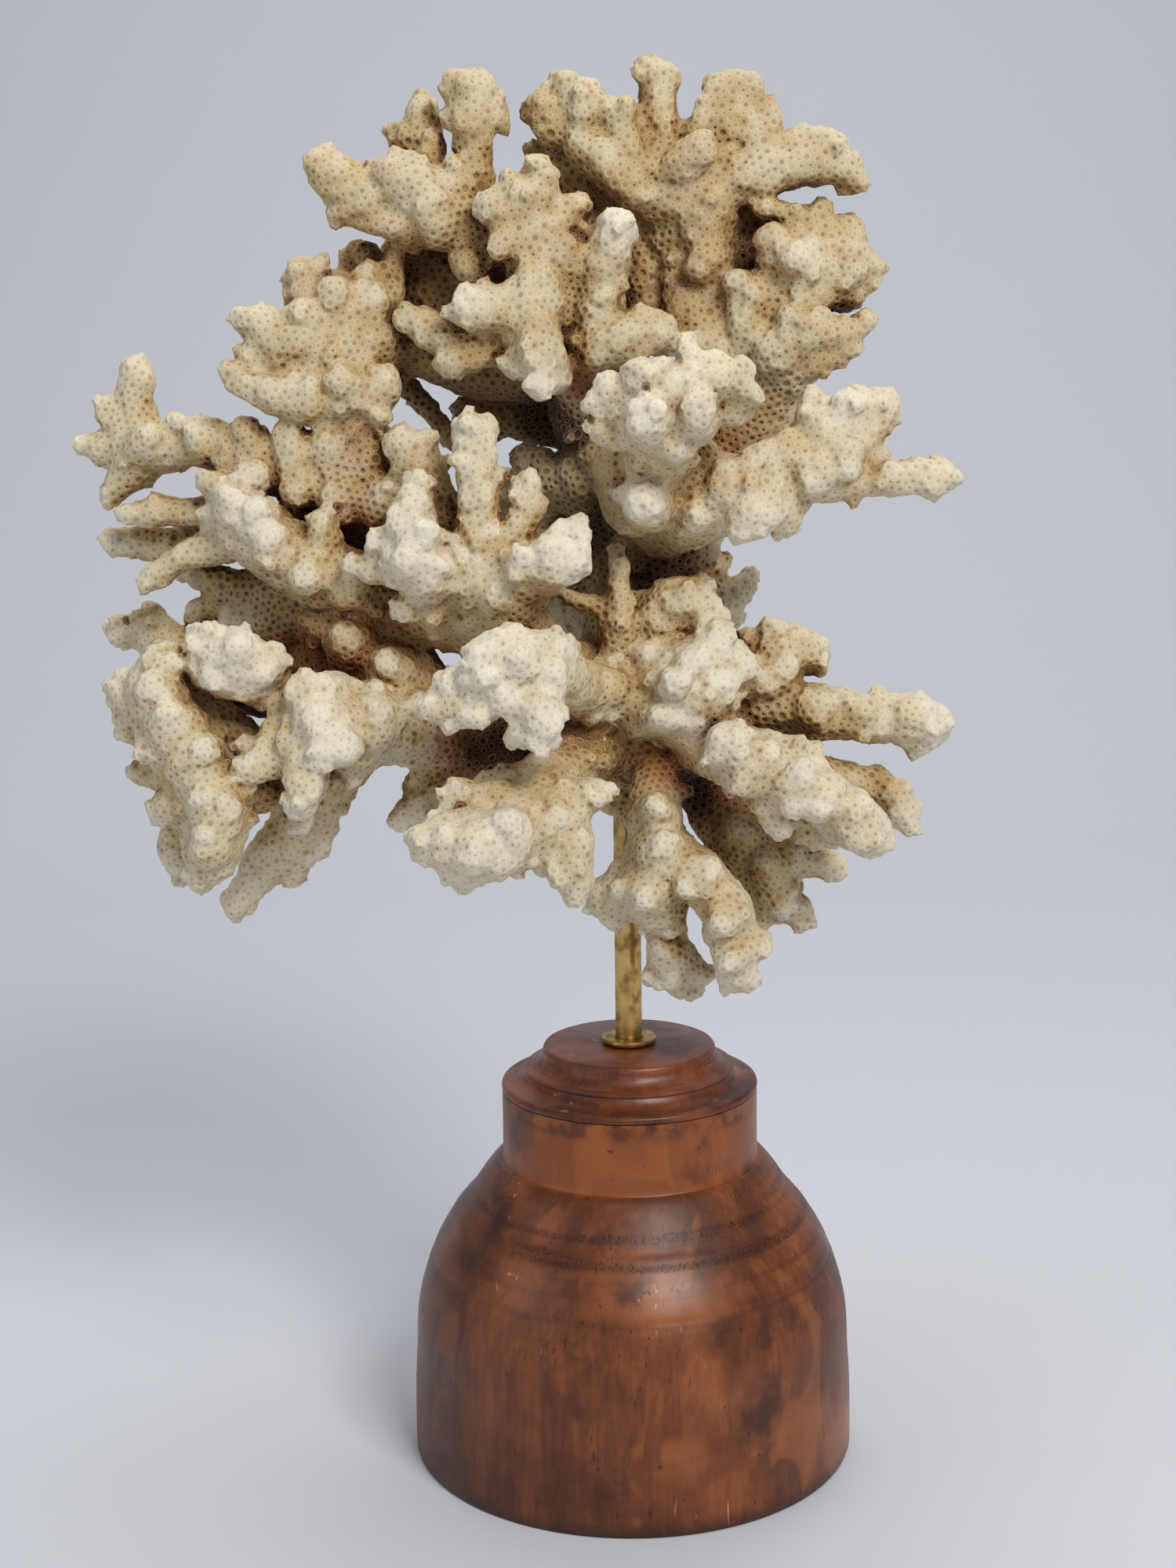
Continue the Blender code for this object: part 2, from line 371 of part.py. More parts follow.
        "left arm": [(715, 450, -34, 5.5), (650, 420, -32, 6), (585, 390, -27, 7), (550, 365, -25, 5.6)],
        "left tip": [(630, 410, -34, 4.6), (600, 350, -44, 3.6), (585, 330, -48, 2.8)],
        "top arm": [(690, 390, -40, 5), (700, 320, -42, 4.2), (690, 270, -40, 3)],
        "right arm": [(720, 450, -34, 5.5), (790, 400, -38, 5.4), (840, 360, -38, 4.4),
                      (870, 310, -38, 3)],
        "right tip": [(800, 395, -40, 4), (850, 420, -46, 3)],
        "out knob": [(715, 430, -36, 5), (725, 400, -50, 3.4)],
        "hollow wall": [(750, 530, -22, 7), (695, 528, -24, 6.6), (640, 520, -24, 5.4),
                        (600, 528, -22, 3.6)],
    },
    "back_right": {
        "root": [(800, 740, -14, 7), (845, 700, -26, 6.5), (890, 670, -36, 6), (935, 640, -42, 4.6),
                 (970, 615, -44, 3.2)],
        "upper arm": [(875, 680, -32, 5), (890, 620, -42, 4.4), (900, 560, -46, 3.4)],
        "low arm": [(880, 690, -32, 5), (905, 740, -42, 4.2), (900, 780, -46, 3)],
        "out arm": [(870, 690, -34, 5), (860, 670, -50, 4), (850, 640, -58, 3)],
        "low finger": [(850, 720, -28, 5), (830, 790, -36, 4.4), (840, 850, -40, 3.2)],
    },
    "back_left": {
        "root": [(790, 800, -12, 7.5), (740, 770, -24, 7), (690, 740, -34, 6.6), (630, 700, -40, 6),
                 (570, 660, -42, 4.8), (520, 620, -42, 3.4)],
        "upper arm": [(690, 740, -34, 5.5), (660, 670, -42, 5), (645, 620, -44, 3.4)],
        "far arm": [(620, 700, -40, 5), (540, 705, -38, 5), (470, 690, -34, 5), (410, 650, -32, 4.4),
                    (370, 610, -32, 3)],
        "low arm": [(660, 735, -38, 5), (600, 780, -46, 4.4), (540, 810, -46, 3.6), (500, 800, -44, 2.8)],
        "out arm": [(680, 740, -38, 5), (680, 750, -54, 4.2), (660, 720, -62, 3)],
        "far knob": [(470, 690, -35, 4.4), (420, 720, -36, 4), (385, 735, -36, 2.8)],
    },
    "back_lower": {
        "root": [(785, 900, -12, 7.5), (740, 900, -24, 7), (690, 900, -32, 6.4), (630, 890, -36, 5.6),
                 (570, 880, -36, 5), (510, 900, -32, 4)],
        "low arm": [(720, 905, -28, 5.5), (690, 950, -36, 4.8), (650, 975, -38, 3.4)],
        "right arm": [(780, 905, -16, 6), (830, 910, -28, 5.4), (880, 905, -36, 4.4), (900, 870, -38, 3)],
        "right tip": [(840, 910, -30, 4.4), (860, 950, -34, 3)],
        "out arm": [(730, 895, -26, 5.4), (730, 880, -44, 4.6), (720, 840, -56, 3.2)],
        "out knob": [(728, 880, -44, 4), (765, 870, -52, 2.8)],
        "far arm": [(560, 885, -36, 4.4), (520, 850, -42, 3.6), (480, 850, -42, 2.8)],
    },
}


def clear_scene():
    for thing in list(bpy.data.objects):
        bpy.data.objects.remove(thing)


def material(name, colour, roughness, metallic=0.0):
    made = bpy.data.materials.new(name)
    made.use_nodes = True
    shader = made.node_tree.nodes["Principled BSDF"]
    shader.inputs["Base Color"].default_value = (*colour, 1.0)
    shader.inputs["Roughness"].default_value = roughness
    shader.inputs["Metallic"].default_value = metallic
    return made


def add_object(name, mesh, finish):
    made = bpy.data.objects.new(name, mesh)
    bpy.context.scene.collection.objects.link(made)
    mesh.materials.clear()
    mesh.materials.append(finish)
    return made


def seen(across, down, near):
    """The point that lies so far in front of the rod, on the sight line through a place in the frame."""
    x = (across - FRAME_MIDDLE[0]) / FRAME_FOCAL
    up = -(down - FRAME_MIDDLE[1]) / FRAME_FOCAL
    line = Vector((x, 1.0, up))
    line.rotate(Matrix.Rotation(EYE_ROLL, 3, "Y"))
    line.rotate(Matrix.Rotation(-EYE_DOWN, 3, "X"))
    line.rotate(Matrix.Rotation(EYE_LEFT, 3, "Z"))
    reach = (-EYE.y - near * MM) / line.y
    return EYE + line * reach


def between(before, start, end, after, t):
    """A smooth curve's value between start and end, for points or plain numbers."""
    return 0.5 * (
        2 * start
        + (end - before) * t
        + (2 * before - 5 * start + 4 * end - after) * t * t
        + (3 * start - before - 3 * end + after) * t * t * t
    )


def beads_along(route):
    """(centre, radius) of the beads that fill one limb, close enough together to merge."""
    stops = [(seen(across, down, near), radius * MM) for across, down, near, radius in route]
    beads = [stops[0]]
    for i in range(len(stops) - 1):
        before, after = stops[max(i - 1, 0)], stops[min(i + 2, len(stops) - 1)]
        start, end = stops[i], stops[i + 1]
        thinnest = min(start[1], end[1])
        count = max(1, math.ceil((end[0] - start[0]).length / (BEAD_STEP * thinnest)))
        for step in range(1, count + 1):
            t = step / count
            centre = between(before[0], start[0], end[0], after[0], t)
            radius = between(before[1], start[1], end[1], after[1], t)
            beads.append((centre, max(radius, 0.8 * thinnest)))
    return beads


def evaluated_mesh(thing):
    """A new mesh of the object as its modifiers leave it."""
    graph = bpy.context.evaluated_depsgraph_get()
    return bpy.data.meshes.new_from_object(thing.evaluated_get(graph))


def keep_largest_body(mesh):
    """Drops the crumbs that a cut can leave, so that the mesh stays one body."""
    shape = bmesh.new()
    shape.from_mesh(mesh)
    unseen = set(shape.faces)
    bodies = []
    while unseen:
        front = [unseen.pop()]
        body = set(front)
        while front:
            for edge in front.pop().edges:
                for face in edge.link_faces:
                    if face in unseen:
                        unseen.discard(face)
                        body.add(face)
                        front.append(face)
        bodies.append(body)
    bodies.sort(key=lambda body: sum(face.calc_area() for face in body))
    crumbs = [face for body in bodies[:-1] for face in body]
    bmesh.ops.delete(shape, geom=crumbs, context="FACES")
    shape.to_mesh(mesh)
    shape.free()


def skin_of(name, limbs, finish):
    """One branch: its limbs' beads merged into one skin, smoothed, then made light in triangles."""
    shape = bmesh.new()
    for route in limbs.values():
        for centre, radius in beads_along(route):
            place = Matrix.Translation(centre)
            bmesh.ops.create_icosphere(shape, subdivisions=2, radius=radius + SKIN_SWELL, matrix=place)
    mesh = bpy.data.meshes.new(name)
    shape.to_mesh(mesh)
    shape.free()
    branch = add_object(name, mesh, finish)

    remesh = branch.modifiers.new("one skin", "REMESH")
    remesh.mode = "VOXEL"
    remesh.voxel_size = SKIN_VOXEL
    smooth = branch.modifiers.new("soften", "SMOOTH")
    smooth.factor = 0.5
    smooth.iterations = SKIN_SMOOTHING
    fine = evaluated_mesh(branch)
    keep_largest_body(fine)
    area = sum(face.area for face in fine.polygons)
    triangles = 2 * len(fine.polygons)
    branch.modifiers.clear()
    branch.data = fine
    bpy.data.meshes.remove(mesh)
    fine.name = name

    thin = branch.modifiers.new("fewer faces", "DECIMATE")
    thin.ratio = min(1.0, area / FACE_AREA / triangles)
    light = evaluated_mesh(branch)
    branch.modifiers.clear()
    branch.data = light
    bpy.data.meshes.remove(fine)
    light.name = name
    return branch


def swollen_copy(branch, by):
    """A cutter: the branch grown by the gap that touching pieces keep."""
    cutter = bpy.data.objects.new(branch.name + "_cutter", branch.data.copy())
    bpy.context.scene.collection.objects.link(cutter)
    shape = bmesh.new()
    shape.from_mesh(cutter.data)
    shape.normal_update()
    moves = []
    for corner in shape.verts:
        # The farthest that any facet around the corner leans from its normal sets how far it has to go out.
        lean = min(corner.normal.dot(face.normal) for face in corner.link_faces)
        moves.append(corner.normal * by / max(lean, 0.5))
    for corner, move in zip(shape.verts, moves):
        corner.co += move
    shape.to_mesh(cutter.data)
    shape.free()
    cutter.hide_render = True
    cutter.display_type = "WIRE"
    return cutter


def near_boxes(one, other):
    """Whether two objects' boxes come within the gap of each other."""
    boxes = []
    for thing in (one, other):
        corners = [corner.co for corner in thing.data.vertices]
        boxes.append([(min(c[i] for c in corners), max(c[i] for c in corners)) for i in range(3)])
    return all(a[0] < b[1] + GAP and b[0] < a[1] + GAP for a, b in zip(*boxes))


def part_from(branch, cutters):
    """Cuts a branch back from its neighbours, so that it meets them at a fork with the gap between."""
    for cutter in cutters:
        if not near_boxes(branch, cutter):
            continue
        cut = branch.modifiers.new("fork", "BOOLEAN")
        cut.operation = "DIFFERENCE"
        cut.solver = "EXACT"
        cut.use_self = True
        cut.object = cutter
        old = branch.data
        parted = evaluated_mesh(branch)
        branch.modifiers.clear()
        branch.data = parted
        bpy.data.meshes.remove(old)
        parted.name = branch.name
        keep_largest_body(parted)
    clean_edges(branch.data)


def clean_edges(mesh):
    """Takes out the slivers that a cut leaves."""
    shape = bmesh.new()
    shape.from_mesh(mesh)
    bmesh.ops.remove_doubles(shape, verts=shape.verts, dist=MERGE)
    loose = [corner for corner in shape.verts if not corner.link_faces]
    bmesh.ops.delete(shape, geom=loose, context="VERTS")
    bmesh.ops.triangulate(shape, faces=shape.faces)
    shape.to_mesh(mesh)
    shape.free()


def arc(centre, radius, start, end, steps):
    """Points of a round stretch of a profile, angles in degrees from straight out."""
    points = []
    for i in range(steps + 1):
        turn = math.radians(start + (end - start) * i / steps)
        points.append((centre[0] + radius * math.cos(turn), centre[1] + radius * math.sin(turn)))
    return points


def turned(name, profile, sides, finish):
    """A piece turned about the Z axis from (radius, height) points that run up its outer side."""
    shape = bmesh.new()
    corners = [shape.verts.new((radius, 0.0, height)) for radius, height in profile]
    edges = [shape.edges.new(pair) for pair in zip(corners, corners[1:])]
    if profile[0][0] > 0:
        edges.append(shape.edges.new((corners[-1], corners[0])))
    bmesh.ops.spin(
        shape, geom=corners + edges, cent=(0, 0, 0), axis=(0, 0, 1), angle=2 * math.pi, steps=sides,
        use_merge=True, use_duplicate=False,
    )
    bmesh.ops.remove_doubles(shape, verts=shape.verts, dist=MERGE)
    bmesh.ops.recalc_face_normals(shape, faces=shape.faces)
    mesh = bpy.data.meshes.new(name)
    shape.to_mesh(mesh)
    shape.free()
    mesh.shade_smooth()
    mesh.set_sharp_from_angle(angle=math.radians(35))
    return add_object(name, mesh, finish)


def make_base_bell(finish):
    """The bell and its neck, turned from one block, with a blind hole for the rod."""
    hole = ROD_RADIUS + GAP
    hole_floor = NECK_TOP + CAP_HEIGHT - ROD_SINK - GAP
    foot = BASE_RADIUS - BASE_BEVEL
    side = [(0.0, 0.0), (foot, 0.0), (BASE_RADIUS, BASE_BEVEL), (SIDE_TOP_RADIUS, SIDE_TOP)]
    neck = [
        (NECK_RADIUS, NECK_BOTTOM), (NECK_RADIUS, NECK_BOTTOM + NECK_STEP),
        (NECK_RADIUS - NECK_TAPER, NECK_TOP),
    ]
    bore = [(hole, NECK_TOP), (hole, hole_floor), (0.0, hole_floor)]
    return turned("base_bell", side + SHOULDER + neck + bore, TURNED_SIDES, finish)


def make_base_cap(finish):
    """The moulded cap: a wide bead, a cove up to a lip, and a second cove up to the flat top."""
    hole = ROD_RADIUS + GAP
    floor = NECK_TOP + GAP
    lip = NECK_TOP + CAP_LIP_HEIGHT
    top = NECK_TOP + CAP_HEIGHT
    bead = arc((NECK_RADIUS - CAP_BEAD, floor + CAP_BEAD), CAP_BEAD, -90, 40, 3)
    first_cove = [(radius, floor + height) for radius, height in FIRST_COVE]
    lip_edge = [(CAP_LIP_RADIUS, lip)]
    second_cove = [(radius, lip + height) for radius, height in SECOND_COVE]
    top_edge = [(CAP_TOP_RADIUS, top - CAP_TOP_BEVEL), (CAP_TOP_RADIUS - CAP_TOP_BEVEL, top)]
    profile = [(hole, floor)] + bead + first_cove + lip_edge + second_cove + top_edge + [(hole, top)]
    return turned("base_cap", profile, TURNED_SIDES, finish)


def make_washer(finish):
    """The flat washer that the rod passes through on top of the cap."""
    floor = NECK_TOP + CAP_HEIGHT + GAP
    hole = ROD_RADIUS + GAP
    bevel = WASHER_HEIGHT / 3
    profile = [
        (hole, floor), (WASHER_RADIUS - bevel, floor), (WASHER_RADIUS, floor + bevel),
        (WASHER_RADIUS, floor + WASHER_HEIGHT - bevel), (WASHER_RADIUS - bevel, floor + WASHER_HEIGHT),
        (hole, floor + WASHER_HEIGHT),
    ]
    return turned("rod_washer", profile, WASHER_SIDES, finish)


def make_rod(finish):
    """The rod, from its hole in the neck up into the coral's stem."""
    foot = NECK_TOP + CAP_HEIGHT - ROD_SINK
    profile = [
        (0.0, foot), (ROD_RADIUS - ROD_BEVEL, foot), (ROD_RADIUS, foot + ROD_BEVEL),
        (ROD_RADIUS, ROD_TOP - ROD_BEVEL), (ROD_RADIUS - ROD_BEVEL, ROD_TOP), (0.0, ROD_TOP),
    ]
    return turned("brass_rod", profile, ROD_SIDES, finish)


def make_rod_hole_cutter():
    """The room that the rod needs in whatever grows round it."""
    mesh = bpy.data.meshes.new("rod_hole")
    shape = bmesh.new()
    high = ROD_TOP + GAP
    place = Matrix.Translation((0, 0, (ROD_CLEAR_FROM + high) / 2))
    radius = (ROD_RADIUS + GAP) / math.cos(math.pi / ROD_SIDES)
    bmesh.ops.create_cone(
        shape, cap_ends=True, segments=ROD_SIDES, radius1=radius, radius2=radius, depth=high - ROD_CLEAR_FROM,
        matrix=place,
    )
    shape.to_mesh(mesh)
    shape.free()
    cutter = bpy.data.objects.new("rod_hole", mesh)
    bpy.context.scene.collection.objects.link(cutter)
    cutter.hide_render = True
    cutter.display_type = "WIRE"
    return cutter


def make_coral(finish):
    """Every branch in turn, each cut back from the rod and from the branches made before it."""
    cutters = [make_rod_hole_cutter()]
    for name, limbs in CORAL.items():
        branch = skin_of(name, limbs, finish)
        whole = swollen_copy(branch, GAP)
        part_from(branch, cutters)
        cutters.append(whole)
    for cutter in cutters:
        bpy.data.objects.remove(cutter)


def main():
    clear_scene()
    wood = material("turned wood", (0.20, 0.085, 0.035), 0.45)
    red_wood = material("red stained wood", (0.16, 0.05, 0.025), 0.4)
    brass = material("aged brass", (0.42, 0.29, 0.12), 0.35, 1.0)
    coral = material("bleached coral", (0.72, 0.64, 0.49), 0.85)
    make_base_bell(wood)
    make_base_cap(red_wood)
    make_washer(brass)
    make_rod(brass)
    make_coral(coral)


main()
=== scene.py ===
# %% [markdown]
# # A branching coral on a brass rod and a turned base
# The solids of the part are loaded first and stay where they are. Everything after that is looks: the coral's
# skin with its cups, the turned wood, the aged brass, a floor, lights and a camera. The camera comes early,
# because the coral's branches were measured along the camera's own sight lines.

# %% Load the frame
import math
from collections import Counter

import bmesh
import bpy
import numpy as np
from mathutils import Matrix, Vector, bvhtree, kdtree


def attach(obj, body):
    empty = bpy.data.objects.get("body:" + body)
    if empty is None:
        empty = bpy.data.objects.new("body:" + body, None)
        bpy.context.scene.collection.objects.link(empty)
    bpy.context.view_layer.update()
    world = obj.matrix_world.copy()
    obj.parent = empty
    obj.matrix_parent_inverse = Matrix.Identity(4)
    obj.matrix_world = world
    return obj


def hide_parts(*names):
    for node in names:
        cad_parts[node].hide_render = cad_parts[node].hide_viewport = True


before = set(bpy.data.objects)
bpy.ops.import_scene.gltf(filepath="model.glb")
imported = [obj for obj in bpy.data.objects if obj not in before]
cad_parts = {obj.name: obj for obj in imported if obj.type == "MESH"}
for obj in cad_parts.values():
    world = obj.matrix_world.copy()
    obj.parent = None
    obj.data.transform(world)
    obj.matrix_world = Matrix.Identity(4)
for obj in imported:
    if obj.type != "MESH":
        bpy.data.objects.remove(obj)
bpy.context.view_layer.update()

MM = 0.001
print("solids loaded:", len(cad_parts))

# %% [markdown]
# ## The camera
# A long lens a little above the coral's middle, looking slightly down. Its height and distance follow from
# how round the rims of the turned base look. The same eye is used below to place the branches.

# %% Camera
EYE = Vector((0.0, -0.419, 0.207))
EYE_DOWN = 0.1848
EYE_LEFT = 0.0169
EYE_ROLL = 0.0134
FRAME_MIDDLE = (750, 1000)
FRAME_HEIGHT = 2000
FRAME_FOCAL = 2937.6
SENSOR_HEIGHT = 36.0

eye_turn = (Matrix.Rotation(EYE_LEFT, 3, "Z") @ Matrix.Rotation(-EYE_DOWN, 3, "X")
            @ Matrix.Rotation(EYE_ROLL, 3, "Y"))
camera_data = bpy.data.cameras.new("camera")
camera_data.sensor_fit = "VERTICAL"
camera_data.sensor_height = SENSOR_HEIGHT
camera_data.lens = SENSOR_HEIGHT * FRAME_FOCAL / FRAME_HEIGHT
camera = bpy.data.objects.new("camera", camera_data)
bpy.context.scene.collection.objects.link(camera)
camera.matrix_world = Matrix.Translation(EYE) @ (eye_turn @ Matrix.Rotation(math.pi / 2, 3, "X")).to_4x4()
bpy.context.scene.camera = camera


def seen(across, down, near):
    """The point so many millimetres in front of the rod, on the sight line through a place in the frame."""
    x = (across - FRAME_MIDDLE[0]) / FRAME_FOCAL
    up = (FRAME_MIDDLE[1] - down) / FRAME_FOCAL
    line = eye_turn @ Vector((x, 1.0, up))
    return EYE + line * ((-EYE.y - near * MM) / line.y)


print("lens %.1f mm" % camera_data.lens)

# %% [markdown]
# ## The coral's branches as beads
# The real coral grew upwards and outwards in short, knobby branches that fuse where they meet. Metaballs or
# curves with a bevel could give such branches, but metaballs swell where they meet, and bevelled curves keep
# hard seams. Beads are simpler: each limb is a smooth route of overlapping balls, and a voxel remesh melts
# them all into one skin. Each limb is a list of stops: across and down in the frame, millimetres in front
# of the rod, and the limb's radius in millimetres.

